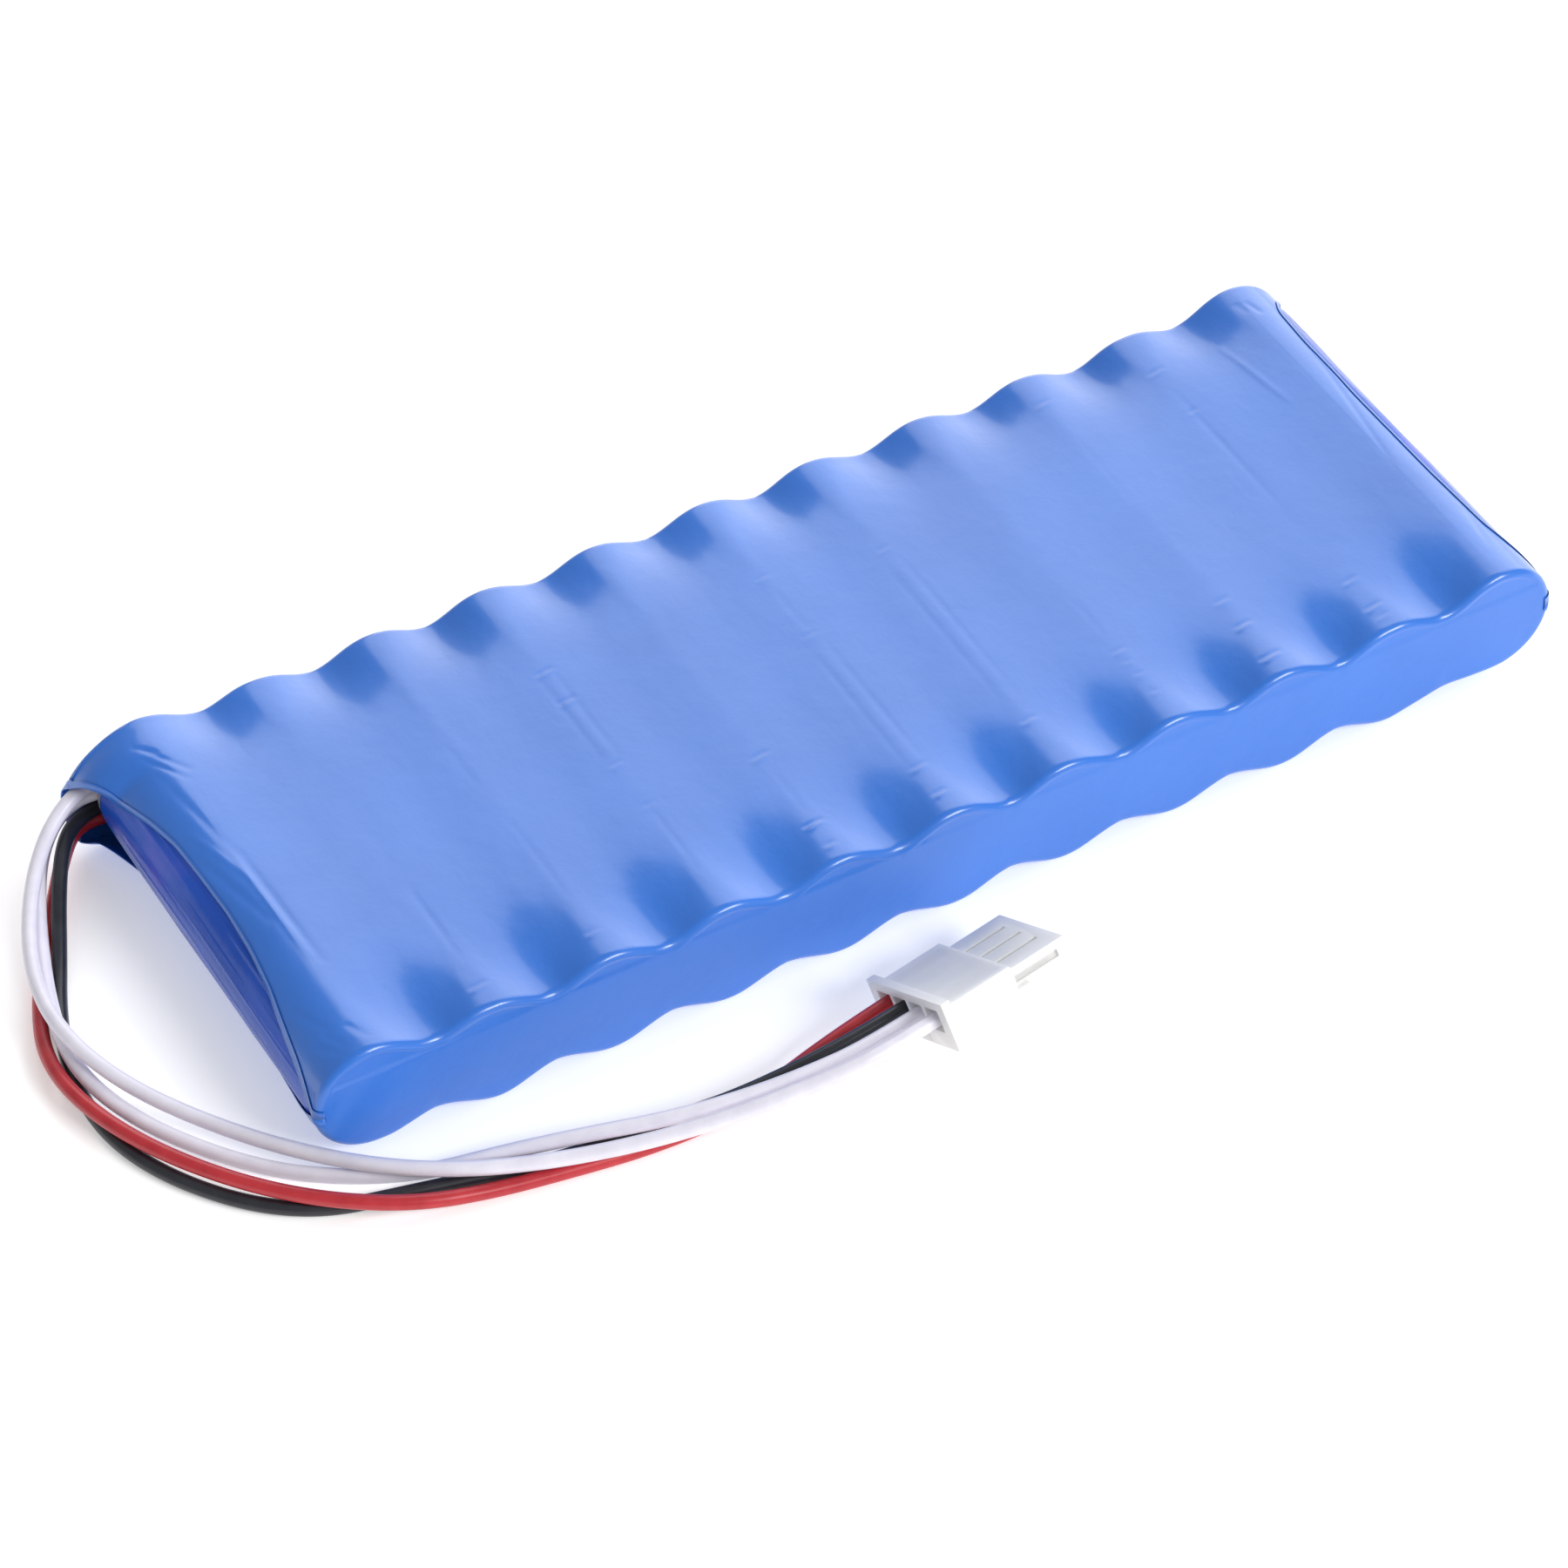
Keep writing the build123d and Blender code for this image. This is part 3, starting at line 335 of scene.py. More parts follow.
# %% Lips
# each place is (distance along the cell in mm, angle in degrees)
LEFT_LIP_TOP = [
    (-34, 0), (-31.5, 14), (-28.3, 24), (-23.5, 33), (-17, 45), (-10, 52), (-3, 54.5),
    (6, 53), (12, 51), (18, 43), (24.5, 29), (29, 18), (33, 10), (36, 8),
]
LEFT_LIP_UNDER = [
    (-34, 0), (-31.5, 12), (-26, 28), (-15, 42), (0, 48), (14, 46), (22, 38), (28, 24),
    (33, 10), (36, 8),
]
RIGHT_LIP_TOP = [
    (-34, 0), (-33, 9), (-31, 24), (-28.5, 40), (-24, 54), (-12, 60), (5, 62), (20, 61),
    (28, 56), (32, 36), (34, 0),
]
RIGHT_LIP_UNDER = [
    (-34, 0), (-33, 7), (-31, 20), (-26, 38), (-12, 48), (5, 50), (20, 46), (30, 30), (34, 0),
]
LIP_STEPS = 400
LIP_EASING = 31  # steps over which a corner of the lip is rounded


def lip_angle(points, y):
    """The lip's angle at y, eased between the given places, in radians."""
    places, angles = np.array(points, float).T
    fine = np.linspace(places[0], places[-1], LIP_STEPS)
    kernel = np.hanning(LIP_EASING)
    raw = np.interp(fine, places, angles)
    padded = np.pad(raw, LIP_EASING // 2, mode="reflect", reflect_type="odd")
    eased = np.convolve(padded, kernel / kernel.sum(), mode="valid")
    return np.radians(np.interp(y / MM, fine, eased))


# %% [markdown]
# ### Columns and rows of the grid
# Every column is a station round the row: first up the outer side of the left cell, then
# across the crests, then down the right cell. The same stations serve the top and the
# underside, so a column of the grid joins them through the near and the far face.

# %% Outline of the film at one place along the cells
ARC_STATIONS = 30
CREST_STATIONS = 421
crest_x = np.linspace(CELL_X[0], CELL_X[-1], CREST_STATIONS)
arc_share = np.linspace(0, 1, ARC_STATIONS, endpoint=False)
STATIONS = CREST_STATIONS + 2 * ARC_STATIONS
CREST_EASING = 7  # stations over which a bend in a crest line is rounded


def crest_levels(y, side):
    """Heights of the film across the crests at y; side is +1 on top and -1 underneath."""
    cell = np.clip(((crest_x - CELL_X[0]) / PITCH).astype(int), 0, len(CELL_X) - 2)
    share = (crest_x - CELL_X[cell]) / PITCH
    level = CELL_Z[cell] * (1 - share) + CELL_Z[cell + 1] * share
    away = np.minimum(share, 1 - share) * PITCH
    strength = dip_strength if side > 0 else under_strength
    sinking = drop(away, flank_slope(y) * strength[cell])
    heights = level + side * (FILM_RADIUS - sinking)
    kernel = np.hanning(CREST_EASING)
    padded = np.pad(heights, CREST_EASING // 2, mode="edge")
    return np.convolve(padded, kernel / kernel.sum(), mode="valid")


def outline(y, side, inset):
    """x and z of every station at y, moved in by inset along the film's own normal."""
    left_tip = lip_angle(LEFT_LIP_TOP if side > 0 else LEFT_LIP_UNDER, y)
    right_tip = lip_angle(RIGHT_LIP_TOP if side > 0 else RIGHT_LIP_UNDER, y)
    left = left_tip + (math.pi / 2 - left_tip) * arc_share
    right = right_tip + (math.pi / 2 - right_tip) * arc_share[::-1]
    radius = FILM_RADIUS - inset
    heights = crest_levels(y, side)
    slope = np.gradient(heights, crest_x)
    length = np.sqrt(1 + slope**2)
    x = [
        CELL_X[0] - radius * np.cos(left),
        crest_x + side * slope / length * inset,
        CELL_X[-1] + radius * np.cos(right),
    ]
    z = [
        CELL_Z[0] + side * radius * np.sin(left),
        heights - side * inset / length,
        CELL_Z[-1] + side * radius * np.sin(right),
    ]
    return np.concatenate(x), np.concatenate(z)


# %% [markdown]
# ### Rows round a column
# The rows start at the far rim, cross the top to the near rim, go down the near face, back
# under the cells and up the far face. Each rim is a quarter round, and each face is straight
# from its upper rim to its lower one.

# %% Rows round a column
TOP_ROWS = 260
UNDER_ROWS = 84
RIM_ROWS = 8
FACE_ROWS = 34
RIM_CROWDING = 0.3  # share of the row spacing that crowds towards the rims


def row_places(count):
    """Places of the flat rows along the cells, from far to near, closer together near the rims."""
    share = np.linspace(-1, 1, count)
    eased = (1 - RIM_CROWDING) * share + RIM_CROWDING * np.sin(share * math.pi / 2)
    return np.interp(eased, [-1, 1], [FAR_Y - RIM, NEAR_Y + RIM])


def flat_rows(side, places):
    """Rows across the top or the underside, one at each of the places."""
    rows = []
    for y in places:
        x, z = outline(y, side, 0.0)
        rows.append(np.stack([x, np.full(STATIONS, y), z], -1))
    return rows


def rim_rows(side, face_y, inwards):
    """Rows over a rounded rim, from the flat of the film to its face."""
    rows = []
    for turn in np.linspace(0, math.pi / 2, RIM_ROWS + 2)[1:-1]:
        y = face_y + inwards * RIM * (1 - math.sin(turn))
        x, z = outline(y, side, RIM * (1 - math.cos(turn)))
        rows.append(np.stack([x, np.full(STATIONS, y), z], -1))
    return rows


def face_rows(face_y, first_side):
    """Rows down (or up) a face, from one rim to the other."""
    start = np.stack(outline(face_y, first_side, RIM), -1)
    end = np.stack(outline(face_y, -first_side, RIM), -1)
    rows = []
    for share in np.linspace(0, 1, FACE_ROWS):
        x, z = (start * (1 - share) + end * share).T
        rows.append(np.stack([x, np.full(STATIONS, face_y), z], -1))
    return rows


sections = {
    "top": flat_rows(1, row_places(TOP_ROWS)),
    "near_top_rim": rim_rows(1, NEAR_Y, 1),
    "near_face": face_rows(NEAR_Y, 1),
    "near_under_rim": rim_rows(-1, NEAR_Y, 1)[::-1],
    "under": flat_rows(-1, row_places(UNDER_ROWS)[::-1]),
    "far_under_rim": rim_rows(-1, FAR_Y, -1),
    "far_face": face_rows(FAR_Y, -1),
    "far_top_rim": rim_rows(1, FAR_Y, -1)[::-1],
}
grid = np.array([row for rows in sections.values() for row in rows])
row_section = np.array([name for name, rows in sections.items() for _ in rows])
print("film grid:", grid.shape)

# %% [markdown]
# ### The pouch over the wires
# At the far left corner the wires push the film off the cell, so its lip stands away from the
# round of the cell and makes a small pouch. The lip's own places there are listed; the film
# behind it follows, less and less, up to the crest.

# %% Pouch
# top and underside: (y, x, z) in mm; far side: (x, y, z) in mm
POUCH_TOP = [
    (25, -92.9, 14.2), (27, -93.85, 14.8), (29, -95.05, 14.9), (31, -96.0, 14.0),
    (33, -96.7, 12.4),
]
POUCH_FAR = [
    (-96.7, 33.0, 12.4), (-97.1, 34.8, 11.0), (-97.2, 35.6, 8.2), (-97.1, 35.5, 5.2),
    (-96.8, 34.6, 3.1), (-96.3, 33.0, 2.3),
]
POUCH_UNDER = [
    (20, -91.6, 4.0), (24.5, -92.7, 3.9), (27, -93.9, 4.6), (30, -94.8, 4.2),
    (31.5, -95.8, 3.0), (33, -96.3, 2.3),
]
POUCH_TOP_START = 24.0  # where the lip starts to leave the cell, along the cell in mm
POUCH_UNDER_START = 19.0
POUCH_EASE = 3.0
POUCH_REACH = ARC_STATIONS + 12  # stations that follow the lip


def ease_line(points, count=200):
    """A line through points, with its corners eased, as an array of count rows."""
    points = np.array(points, float)
    share = np.linspace(0, len(points) - 1, count)
    columns = [np.interp(share, np.arange(len(points)), column) for column in points.T]
    kernel = np.hanning(2 * (count // len(points)) // 2 * 2 + 1)
    half = len(kernel) // 2
    eased = []
    for column in columns:
        padded = np.pad(column, half, mode="reflect", reflect_type="odd")
        eased.append(np.convolve(padded, kernel / kernel.sum(), mode="valid"))
    return np.stack(eased, -1)


def pouch_lip():
    """Where the lip goes, for each row of the grid."""
    lip = grid[:, 0].copy()
    top, under, far = ease_line(POUCH_TOP), ease_line(POUCH_UNDER), ease_line(POUCH_FAR)
    for name, line, first in (("top", top, POUCH_TOP_START), ("under", under, POUCH_UNDER_START)):
        rows = np.flatnonzero(row_section == name)
        y = grid[rows, 0, 1] / MM
        for axis, column in ((0, 1), (2, 2)):
            wanted = np.interp(y, line[:, 0], line[:, column]) * MM
            share = smooth((y - first) / POUCH_EASE)
            lip[rows, axis] = grid[rows, 0, axis] * (1 - share) + wanted * share
    round_far = np.flatnonzero(np.isin(row_section, ["far_under_rim", "far_face", "far_top_rim"]))
    share = np.linspace(1, 0, len(round_far))
    for axis in range(3):
        lip[round_far, axis] = np.interp(share, np.linspace(0, 1, len(far)), far[:, axis]) * MM
    return lip


def open_pouch(points):
    """Move the left lip to its place in the pouch, and the film behind it less and less."""
    shift = pouch_lip() - points[:, 0]
    fade = (1 - np.arange(POUCH_REACH) / POUCH_REACH) ** 2
    points[:, :POUCH_REACH] += shift[:, None, :] * fade[None, :, None]


open_pouch(grid)
print("the lip's furthest reach is x =", grid[:, 0, 0].min() / MM)

# %% [markdown]
# ### Hollows between the cell ends
# Over each cell's flat end the film is tight and shows a disc. Between two discs nothing holds
# it out, so it sinks a little, most where the dips meet the face. The further a place on the
# face is from the nearest cell's axis, the deeper it sinks.

# %% Hollows
HOLLOW_DEPTH = 0.15 * MM
HOLLOW_REACH = 5.0 * MM  # how far the hollow spreads from the face over the top
HOLLOW_START = 1.005  # how far from a cell's axis the hollow starts, in film radii
HOLLOW_EASE = 0.3  # over what distance it deepens, in film radii
BOARD_STEP = 0.12 * MM
BOARD_EDGE = 0.6 * MM  # height over which the film steps past the board's top edge
board_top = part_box("near_board")[1][2]


def sink_faces(points):
    """Press the faces and the rims in between the cell ends, and show the board's top edge."""
    x, y, z = points[..., 0], points[..., 1], points[..., 2]
    away = np.full(x.shape, 1.0)
    for cell_x, cell_z in zip(CELL_X, CELL_Z):
        away = np.minimum(away, np.hypot(x - cell_x, z - cell_z))
    hollow = HOLLOW_DEPTH * smooth((away - HOLLOW_START * FILM_RADIUS) / (HOLLOW_EASE * FILM_RADIUS))
    for face_y, inwards in ((NEAR_Y, 1), (FAR_Y, -1)):
        depth = np.abs(y - face_y)
        share = 1 - smooth(depth / HOLLOW_REACH)
        share[:, :ARC_STATIONS] = 0
        share[:, -ARC_STATIONS:] = 0
        points[..., 1] += inwards * hollow * share
        above_board = smooth((z - board_top) / BOARD_EDGE)
        points[..., 1] += inwards * BOARD_STEP * above_board * (depth < 0.01 * MM)


sink_faces(grid)

# %% [markdown]
# ### Creases
# Hot film that shrinks over a hard ridge leaves small marks there: short wrinkles across a
# crest, thin lines along it where the film is doubled, and long pulls from the corner where the
# wires hold it up. Each is a line pressed into the film's own surface, with soft sides and ends.

# %% Pressing lines into the film


def grid_normals(points):
    """Outward normals of a grid that closes round its rows."""
    round_rows = np.roll(points, -1, 0) - np.roll(points, 1, 0)
    along = np.gradient(points, axis=1)
    normals = np.cross(along, round_rows)
    length = np.linalg.norm(normals, axis=2, keepdims=True)
    return normals / np.maximum(length, 1e-12)


def press_line(points, normals, start, end, width, height):
    """Raise the top of the film along a line from start to end (x, y in mm), or sink it."""
    start, end = np.array(start, float) * MM, np.array(end, float) * MM
    direction = end - start
    length = np.linalg.norm(direction)
    direction /= length
    rows = np.flatnonzero(np.isin(row_section, ["top", "near_top_rim", "far_top_rim"]))
    where = points[rows][..., :2] - start
    along = where @ direction / length
    across = where @ np.array([-direction[1], direction[0]])
    ends = np.clip(4 * along * (1 - along), 0, 1) ** 0.6
    lift = height * MM * np.exp(-((across / (width * MM)) ** 2)) * ends
    points[rows] += normals[rows] * lift[..., None]


# %% [markdown]
# ### Where the creases are
# Each kind has its own list, in millimetres. Cells are counted from 0 at the left. A short
# wrinkle is a raised line with a shallow furrow beside it, on the near side.

# %% Where the creases are
# short wrinkles: number of the cell, place along it, half length, height
WRINKLES = [
    (3, 16.1, 1.5, 0.16), (3, 9.7, 1.5, 0.16), (3, -4.2, 1.2, 0.12), (3, -13.0, 1.0, 0.08),
    (4, -12.5, 1.6, 0.16), (4, -27.0, 1.6, 0.22), (4, -31.4, 0.8, 0.15), (5, 17.3, 1.1, 0.1),
    (5, 4.2, 1.3, 0.08), (5, -24.8, 1.3, 0.14), (5, -30.4, 1.0, 0.2), (6, 13.9, 1.1, 0.12),
    (6, -24.7, 1.2, 0.14), (7, -19.5, 1.1, 0.14), (7, -21.9, 0.7, 0.1), (7, -24.7, 0.7, 0.12),
    (7, -28.6, 0.7, 0.1), (8, -18.3, 1.2, 0.16), (8, -23.7, 1.5, 0.2), (8, -30.6, 1.7, 0.22),
    (8, 28.4, 1.5, 0.1), (9, 26.0, 1.6, 0.12), (9, 16.3, 0.8, 0.12), (9, -23.7, 1.3, 0.16),
    (9, -29.6, 1.5, 0.18), (9, -31.8, 0.9, 0.12), (2, -29.6, 1.1, 0.1), (1, -30.6, 1.4, 0.14),
]
# lines along a crest: number of the cell, distance from its crest, from, to, height
CREST_LINES = [
    (3, -1.1, 15.7, -3.6, 0.05), (3, 1.1, 15.7, -3.6, 0.06), (3, 0.1, -12.3, -27.3, 0.07),
    (5, -1.2, 2.2, -24.7, 0.05), (5, 1.2, 2.2, -24.7, 0.06), (5, 0.3, 14.0, 5.0, 0.05),
    (6, -1.3, 12.2, -20.6, 0.05), (6, 1.2, 12.2, -20.6, 0.06), (9, 0.0, 22.0, -6.6, 0.07),
    (8, 0.2, 20.0, 4.0, 0.04), (2, 0.2, -6.0, -24.0, 0.06), (2, -0.6, 12.0, 0.0, 0.04),
    (1, 0.3, -10.0, -26.0, 0.08), (4, 0.2, -14.0, -26.0, 0.05), (7, 0.0, -8.0, -18.0, 0.05),
]
# pulls across the end cells: from, to, width, height
PULLS = [
    ((-87.8, 24.5), (-84.9, 4.0), 0.7, 0.10), ((-84.6, 6.5), (-83.9, -18.5), 0.55, 0.16),
    ((-85.6, 4.0), (-84.9, -17.0), 0.5, -0.12), ((-87.6, 28.6), (-83.2, 22.1), 0.4, 0.14),
    ((-88.4, 27.6), (-84.2, 20.4), 0.4, 0.12), ((-88.6, 29.8), (-85.4, 26.6), 0.4, 0.12),
    ((-89.8, 9.0), (-86.4, -9.0), 0.7, 0.12), ((-88.9, 13.0), (-85.2, -1.0), 0.5, -0.08),
    ((-90.9, -21.5), (-88.3, -29.5), 0.5, 0.10), ((-91.0, -29.0), (-88.6, -33.4), 0.5, 0.12),
    ((-89.6, -28.2), (-87.6, -33.2), 0.4, 0.10), ((-86.4, -29.0), (-84.6, -32.9), 0.5, 0.10),
    ((78.4, 26.2), (80.4, 9.5), 0.35, -0.10), ((88.9, 16.5), (85.1, -9.6), 0.5, 0.10),
    ((90.0, 22.0), (88.4, 8.0), 0.6, -0.12), ((89.3, -20.0), (87.6, -29.0), 0.5, 0.08),
    ((86.0, 31.0), (87.0, 27.5), 0.5, 0.12), ((84.6, 31.4), (85.2, 28.4), 0.4, 0.10),
]
WRINKLE_SHARE = 0.55  # of the listed height
WRINKLE_WIDTH = 0.4
FURROW_WIDTH = 0.45
FURROW_SHARE = 0.7  # of the wrinkle's height
CREST_LINE_WIDTH = 0.4
film_normals = grid_normals(grid)
for cell, y, half, height in WRINKLES:
    middle = CELL_X[cell] / MM
    start, end = (middle - half, y - 0.3), (middle + half, y + 0.3)
    press_line(grid, film_normals, start, end, WRINKLE_WIDTH, WRINKLE_SHARE * height)
    start, end = (middle - half, y - 1.0), (middle + half, y - 0.4)
    furrow = -FURROW_SHARE * WRINKLE_SHARE * height
    press_line(grid, film_normals, start, end, FURROW_WIDTH, furrow)
for cell, offset, start, end, height in CREST_LINES:
    x = CELL_X[cell] / MM + offset
    press_line(grid, film_normals, (x, start), (x, end), CREST_LINE_WIDTH, height)
for start, end, width, height in PULLS:
    press_line(grid, film_normals, start, end, width, height)
print("creases pressed:", len(WRINKLES) + len(CREST_LINES) + len(PULLS))

# %% [markdown]
# ### Mesh of the film
# The grid closes round its rows and is open at the two lips. Each lip is folded inwards by the
# thickness of the film, so that a cut edge shows, and not a sheet without thickness.

# %% Mesh of the film
LIP_THICKNESS = 0.16 * MM
LIP_DEPTH = 3  # stations from the lip that the turned-in edge reaches


def sheet_faces(rows, stations):
    """Faces of a grid that closes round its rows."""
    row = np.arange(rows)[:, None]
    station = np.arange(stations - 1)[None, :]
    next_row = (row + 1) % rows
    corners = [
        row * stations + station,
        row * stations + station + 1,
        next_row * stations + station + 1,
        next_row * stations + station,
    ]
    return np.stack(corners, -1).reshape(-1, 4)


def lip_strips(rows, stations, edge, start):
    """Faces of a turned-in edge, whose own vertices begin at number start."""
    here = np.arange(rows)
    after = (here + 1) % rows
    outer_here, outer_after = here * stations + edge, after * stations + edge
    lip_here, lip_after = start + here, start + after
    inside_here, inside_after = lip_here + rows, lip_after + rows
    return [
        np.stack([outer_after, lip_after, lip_here, outer_here], -1),
        np.stack([lip_after, inside_after, inside_here, lip_here], -1),
    ]


def film_mesh(points):
    """The grid as a mesh, with a thin turned-in edge at both lips."""
    normals = grid_normals(points)
    rows, stations = points.shape[:2]
    last = stations - 1
    blocks, all_faces = [points.reshape(-1, 3)], [sheet_faces(rows, stations)]
    for edge, inner, flip in ((0, LIP_DEPTH, False), (last, last - LIP_DEPTH, True)):
        start = sum(len(block) for block in blocks)
        lip = points[:, edge] - normals[:, edge] * LIP_THICKNESS
        inside = points[:, inner] - normals[:, inner] * LIP_THICKNESS
        blocks.append(np.concatenate([lip, inside]))
        for strip in lip_strips(rows, stations, edge, start):
            all_faces.append(strip[:, ::-1] if flip else strip)
    mesh = bpy.data.meshes.new("film")
    mesh.from_pydata(np.concatenate(blocks).tolist(), [], np.concatenate(all_faces).tolist())
    mesh.polygons.foreach_set("use_smooth", np.ones(len(mesh.polygons), bool))
    mesh.validate()
    return mesh


film = bpy.data.objects.new("blue_film", film_mesh(grid))
bpy.context.scene.collection.objects.link(film)
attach(film, "pack")
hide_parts("film_sleeve")
print("film faces:", len(film.data.polygons))

# %% [markdown]
# ## Finish of the film
# Shrink film is clear blue vinyl over silver-grey jackets, so it looks like a lit blue with a
# soft gloss: brighter where it faces up, deeper blue on steep flanks. A coat gives the sharp
# highlights over a softer body, and two fine noises give the orange-peel and the small specks.

# %% Film finish
film_finish, tree, shader = new_finish(
    "blue_film", (0.018, 0.155, 0.6), 0.38, Coat_Weight=0.7, Coat_Roughness=0.17, Specular_IOR_Level=0.4
)
blue = add_ramp(
    tree,
    add_noise(tree, 45, 4.0),
    [(0.3, (0.016, 0.14, 0.57)), (0.7, (0.021, 0.162, 0.64))],
)
tree.links.new(blue, shader.inputs["Base Color"])
tree.links.new(add_range(tree, add_noise(tree, 220, 3.0), 0.32, 0.44), shader.inputs["Roughness"])
add_bump(
    tree,
    shader,
    [
        (add_noise(tree, 420, 3.0), 0.00012),
        (add_noise(tree, 160, 3.0, stretch=(1.0, 0.35, 1.0)), 0.00025),
    ],
    0.55,
)
paint(film, film_finish)

# %% [markdown]
# ## The other finishes
# Most of these pieces are inside and only show when the pack is taken apart, but each still gets
# the look of what it is made of.

# %% Finishes of the carried-over parts
# name: dark colour, light colour, roughness, metallic, scale of the pattern, its stretch
RECIPES = {
    "can_steel": ((0.55, 0.55, 0.53), (0.72, 0.72, 0.7), 0.28, 1.0, 300, (1, 1, 8)),
    "electrode": ((0.05, 0.05, 0.055), (0.1, 0.1, 0.1), 0.8, 0.0, 900, (1, 1, 1)),
    "seal_nylon": ((0.55, 0.55, 0.5), (0.65, 0.65, 0.6), 0.5, 0.0, 400, (1, 1, 1)),
    "jacket_film": ((0.2, 0.22, 0.25), (0.28, 0.3, 0.33), 0.35, 0.0, 250, (1, 1, 1)),
    "fibre_paper": ((0.66, 0.6, 0.45), (0.78, 0.73, 0.6), 0.85, 0.0, 700, (1, 6, 1)),
    "nickel_strip": ((0.62, 0.6, 0.55), (0.75, 0.73, 0.68), 0.3, 1.0, 500, (8, 1, 1)),
    "hot_glue": ((0.8, 0.76, 0.62), (0.86, 0.83, 0.72), 0.35, 0.0, 200, (1, 1, 1)),
    "amber_tape": ((0.62, 0.3, 0.05), (0.72, 0.38, 0.08), 0.3, 0.0, 260, (1, 1, 1)),
    "solder": ((0.6, 0.6, 0.6), (0.75, 0.75, 0.74), 0.25, 1.0, 400, (1, 1, 1)),
    "sensor_resin": ((0.04, 0.04, 0.045), (0.08, 0.08, 0.08), 0.4, 0.0, 500, (1, 1, 1)),
    "tinned_wire": ((0.66, 0.66, 0.64), (0.78, 0.78, 0.76), 0.3, 1.0, 800, (1, 1, 1)),
    "clear_sleeve": ((0.1, 0.1, 0.11), (0.15, 0.15, 0.16), 0.4, 0.0, 300, (1, 1, 1)),
    "tinned_brass": ((0.6, 0.58, 0.5), (0.74, 0.72, 0.66), 0.27, 1.0, 700, (1, 1, 1)),
    "red_vinyl": ((0.42, 0.018, 0.028), (0.52, 0.03, 0.04), 0.32, 0.0, 350, (1, 1, 1)),
    "black_vinyl": ((0.012, 0.014, 0.02), (0.022, 0.024, 0.032), 0.33, 0.0, 350, (1, 1, 1)),
    "white_vinyl": ((0.72, 0.7, 0.8), (0.8, 0.78, 0.87), 0.34, 0.0, 350, (1, 1, 1)),
}
finishes = {"blue_film": film_finish}
for name, (dark, light, roughness, metal, scale, stretch) in RECIPES.items():
    finish, tree, shader = new_finish(name, dark, roughness, Metallic=metal)
    pattern = add_noise(tree, scale, 4.0, stretch)
    tree.links.new(add_ramp(tree, pattern, [(0.3, dark), (0.7, light)]), shader.inputs["Base Color"])
    tree.links.new(
        add_range(tree, pattern, roughness * 0.8, roughness * 1.25), shader.inputs["Roughness"]
    )
    add_bump(tree, shader, [(pattern, 0.00005)], 0.4)
    finishes[name] = finish

for name, wire in wires.items():
    paint(wire, finishes["white_vinyl" if "white" in name else f"{name}_vinyl"])

# %% [markdown]
# ## Plug and lever
# The plug is moulded in natural nylon, a milky plastic that lets some light into it. Its shape
# comes from the design; here its edges only get the small rounding that a mould leaves.

# %% Plug finish
nylon, tree, shader = new_finish(
    "natural_nylon",
    (0.78, 0.76, 0.7),
    0.38,
    Subsurface_Weight=0.35,
    Subsurface_Scale=0.004,
    Transmission_Weight=0.12,
)
shader.inputs["Subsurface Radius"].default_value = (1.0, 0.9, 0.75)
milk = add_noise(tree, 120, 3.0)
tree.links.new(
    add_ramp(tree, milk, [(0.3, (0.88, 0.87, 0.84)), (0.7, (0.94, 0.93, 0.91))]),
    shader.inputs["Base Color"],
)
tree.links.new(add_range(tree, add_noise(tree, 500, 3.0), 0.32, 0.46), shader.inputs["Roughness"])
add_bump(tree, shader, [(add_noise(tree, 600, 4.0), 0.00008)], 0.4)
finishes["natural_nylon"] = nylon

# %% [markdown]
# ### Rounded copies of the moulded pieces
# The design's flat faces come in as triangles. A copy is welded, its flat faces are made whole
# again, and only its sharp edges get the mould's rounding.

# %% Rounded copies of the moulded pieces
EDGE_ROUNDING = 0.13 * MM
WELD_DISTANCE = 0.002 * MM
FLAT_ANGLE = math.radians(2)
SHARP_ANGLE = math.radians(35)


def moulded_copy(node_name, body):
    """The node's own mesh with its flat faces made whole again and its edges rounded."""
    work = bmesh.new()
    work.from_mesh(nodes[node_name].data)
    bmesh.ops.remove_doubles(work, verts=work.verts, dist=WELD_DISTANCE)
    bmesh.ops.dissolve_limit(
        work, angle_limit=FLAT_ANGLE, verts=work.verts, edges=work.edges, delimit={"NORMAL"}
    )
    mesh = bpy.data.meshes.new(f"moulded_{node_name}")
    work.to_mesh(mesh)
    work.free()
    copy = bpy.data.objects.new(f"moulded_{node_name}", mesh)
    bpy.context.scene.collection.objects.link(copy)
    rounding = copy.modifiers.new("mould rounding", "BEVEL")
    rounding.width = EDGE_ROUNDING
    rounding.segments = 2
    rounding.limit_method = "ANGLE"
    rounding.angle_limit = SHARP_ANGLE
    rounding.harden_normals = True
    mesh.polygons.foreach_set("use_smooth", np.ones(len(mesh.polygons), bool))
    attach(copy, body)
    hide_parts(node_name)
    paint(copy, nylon)
    return copy


plug = moulded_copy("plug_housing", "pack")
lever = moulded_copy("latch_lever", "lever")
print("plug faces:", len(plug.data.polygons), "lever faces:", len(lever.data.polygons))

# %% [markdown]
# ## Inner end patches
# A piece of the same film lies round the outer side of each end cell and shows in the mouths.
# It was shrunk alone, so it is shinier and has long creases along the cell.

# %% Patch meshes
PATCH_THICKNESS = 0.12 * MM
PATCH_HALF_ARC = math.radians(85)
PATCH_COLUMNS = 150
PATCH_ROWS = 160
PATCH_CREASES = 46
HIGHEST_CREASE = 0.2 * MM
INNER_SHARE = 0.9  # of a crease that the inner side of the patch follows


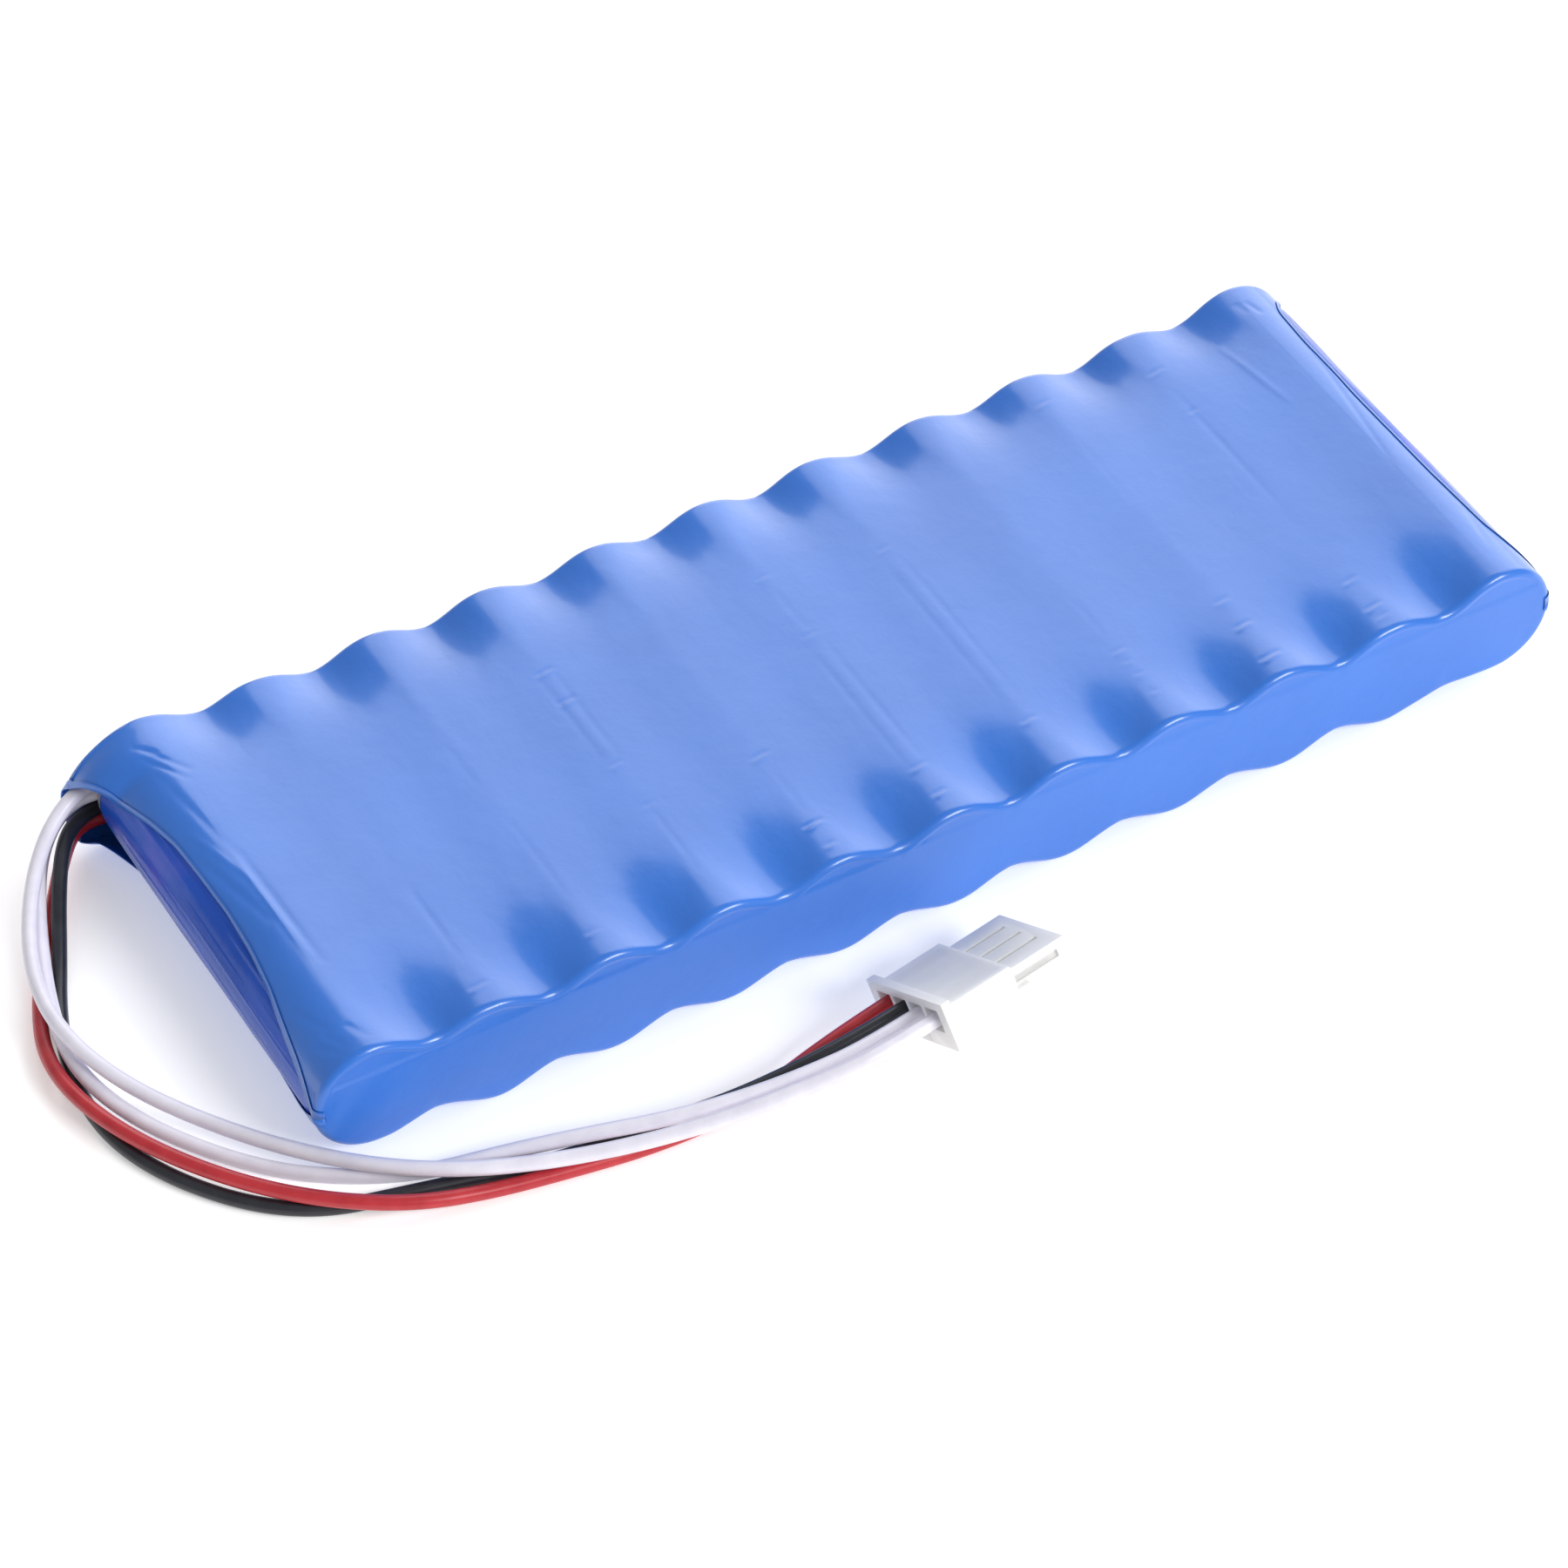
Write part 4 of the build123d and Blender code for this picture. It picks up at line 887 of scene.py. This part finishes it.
def patch_swell(places, angles, seed):
    """How far the patch stands off its round, from creases that run along the cell."""
    noise = np.random.default_rng(seed)
    swell = np.zeros((len(places), len(angles)))
    for _ in range(PATCH_CREASES):
        angle = noise.uniform(-1.3, 1.3)
        middle = noise.uniform(places[0], places[-1])
        reach = noise.uniform(0.006, 0.022)
        lean = noise.uniform(-3.0, 3.0)
        width = noise.uniform(0.018, 0.05)
        height = noise.uniform(0.03, 0.12) * MM
        along = places[:, None] - middle
        across = angles[None, :] - angle - lean * along
        swell += height * np.exp(-((across / width) ** 2)) * np.exp(-((along / reach) ** 4))
    return np.minimum(swell, HIGHEST_CREASE)


def shell_faces(rows, columns, outwards):
    """Faces of a shell made of an outer and an inner grid, with its border closed."""
    under = rows * columns
    faces = []
    for i in range(rows - 1):
        for j in range(columns - 1):
            a, b = i * columns + j, i * columns + j + 1
            c, d = b + columns, a + columns
            faces.append((a, d, c, b) if outwards > 0 else (a, b, c, d))
            turned = (a + under, b + under, c + under, d + under)
            faces.append(turned if outwards > 0 else turned[::-1])
    border = [(0, j) for j in range(columns)]
    border += [(i, columns - 1) for i in range(1, rows)]
    border += [(rows - 1, j) for j in range(columns - 2, -1, -1)]
    border += [(i, 0) for i in range(rows - 2, 0, -1)]
    for (i, j), (k, m) in zip(border, border[1:] + border[:1]):
        a, b = i * columns + j, k * columns + m
        strip = (a, b, b + under, a + under) if outwards > 0 else (b, a, a + under, b + under)
        faces.append(strip)
    return faces


def end_patch(name, cell_x, cell_z, outwards, seed):
    """A shell round the outer side of an end cell, with creases along the cell."""
    low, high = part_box(name)
    radius = (high[2] - low[2]) / 2 / math.sin(PATCH_HALF_ARC) - PATCH_THICKNESS
    angles = np.linspace(-PATCH_HALF_ARC, PATCH_HALF_ARC, PATCH_COLUMNS)
    places = np.linspace(low[1], high[1], PATCH_ROWS)
    swell = patch_swell(places, angles, seed)
    rings = []
    for depth, share in ((0.0, 1), (PATCH_THICKNESS, INNER_SHARE)):
        reach = radius + PATCH_THICKNESS - depth + swell * share
        x = cell_x + outwards * reach * np.cos(angles)[None, :]
        z = cell_z + reach * np.sin(angles)[None, :]
        y = np.repeat(places[:, None], len(angles), 1)
        rings.append(np.stack([x, y, z], -1).reshape(-1, 3))
    mesh = bpy.data.meshes.new(name)
    mesh.from_pydata(np.concatenate(rings).tolist(), [], shell_faces(PATCH_ROWS, PATCH_COLUMNS, outwards))
    mesh.polygons.foreach_set("use_smooth", np.ones(len(mesh.polygons), bool))
    patch = bpy.data.objects.new(f"creased_{name}", mesh)
    bpy.context.scene.collection.objects.link(patch)
    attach(patch, "pack")
    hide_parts(name)
    return patch


# %% [markdown]
# ### Patch finish
# The same blue as the film, but darker, since it lies in the shade of the lips, with a mottled
# colour and a sharper gloss.

# %% Patch finish
patch_finish, tree, shader = new_finish(
    "inner_film",
    (0.014, 0.085, 0.46),
    0.3,
    Coat_Weight=0.12,
    Coat_Roughness=0.08,
    Specular_IOR_Level=0.15,
)
mottle = add_noise(tree, 90, 5.0, stretch=(1, 0.5, 1))
PATCH_BLUES = [(0.35, (0.01, 0.075, 0.46)), (0.6, (0.018, 0.095, 0.56)), (0.75, (0.08, 0.11, 0.62))]
tree.links.new(add_ramp(tree, mottle, PATCH_BLUES), shader.inputs["Base Color"])
tree.links.new(add_range(tree, add_noise(tree, 400, 4.0), 0.14, 0.3), shader.inputs["Roughness"])
add_bump(
    tree,
    shader,
    [(add_noise(tree, 350, 4.0), 0.00015), (add_noise(tree, 110, 3.0, stretch=(1, 0.3, 1)), 0.0004)],
    0.6,
)
for name, cell, outwards, seed in (("end_patch_left", 0, -1, 5), ("end_patch_right", -1, 1, 8)):
    patch = end_patch(name, CELL_X[cell], CELL_Z[cell], outwards, seed)
    paint(patch, patch_finish)
    print(name, len(patch.data.polygons))

# %% [markdown]
# ### Finishes on the parts that stay
# The other parts keep the design's own mesh. Each of their material slots has the name of its
# finish, and a name that has none is printed.

# %% Finishes on the parts that stay
for name, node in nodes.items():
    for slot in node.material_slots:
        base = slot.material.name.split(".")[0] if slot.material else ""
        slot.material = finishes.get(base, slot.material)
        if base not in finishes:
            print("no finish for", name, base)

# %% [markdown]
# ## Floor and light
# The pack lies on a plain white floor. A large soft box stands behind to the right: the flanks
# that face it turn pale and those that face away stay a deep blue. A small one in front lights
# the near face. The rest of the room is an even white.

# %% Studio
FLOOR_HALF = 3.0
FLOOR_DROP = 0.02 * MM  # below the pack, so that the two never share a plane
FLOOR_GLOW = 0.34
ROOM_LIGHT = 0.46
floor_corners = [(x * FLOOR_HALF, y * FLOOR_HALF, 0) for x, y in ((-1, -1), (1, -1), (1, 1), (-1, 1))]
floor_mesh = bpy.data.meshes.new("floor")
floor_mesh.from_pydata(floor_corners, [], [(0, 1, 2, 3)])
floor = bpy.data.objects.new("floor", floor_mesh)
bpy.context.scene.collection.objects.link(floor)
floor.location.z = -FLOOR_DROP
paper, tree, shader = new_finish("studio_paper", (0.93, 0.93, 0.93), 0.9, Emission_Strength=FLOOR_GLOW)
shader.inputs["Emission Color"].default_value = (1, 1, 1, 1)
tree.links.new(
    add_ramp(tree, add_noise(tree, 30, 2.0), [(0.3, (0.92, 0.92, 0.92)), (0.7, (0.94, 0.94, 0.94))]),
    shader.inputs["Base Color"],
)
paint(floor, paper)

world = bpy.data.worlds.new("studio")
world.use_nodes = True
background = world.node_tree.nodes["Background"]
background.inputs["Color"].default_value = (1, 1, 1, 1)
background.inputs["Strength"].default_value = ROOM_LIGHT
bpy.context.scene.world = world


def soft_box(name, place, width, height, power):
    """A rectangular light that faces the pack."""
    light_data = bpy.data.lights.new(name, "AREA")
    light_data.shape = "RECTANGLE"
    light_data.size = width
    light_data.size_y = height
    light_data.energy = power
    light = bpy.data.objects.new(name, light_data)
    bpy.context.scene.collection.objects.link(light)
    light.location = place
    light.visible_camera = False
    light.rotation_mode = "QUATERNION"
    light.rotation_quaternion = (-Vector(place)).to_track_quat("-Z", "Y")


soft_box("right_wall", (1.4, 1.33, 1.08), 2.4, 2.4, 40)
soft_box("front_fill", (0.75, -1.6, 1.25), 1.0, 0.65, 32)
bpy.context.scene.view_settings.view_transform = "Standard"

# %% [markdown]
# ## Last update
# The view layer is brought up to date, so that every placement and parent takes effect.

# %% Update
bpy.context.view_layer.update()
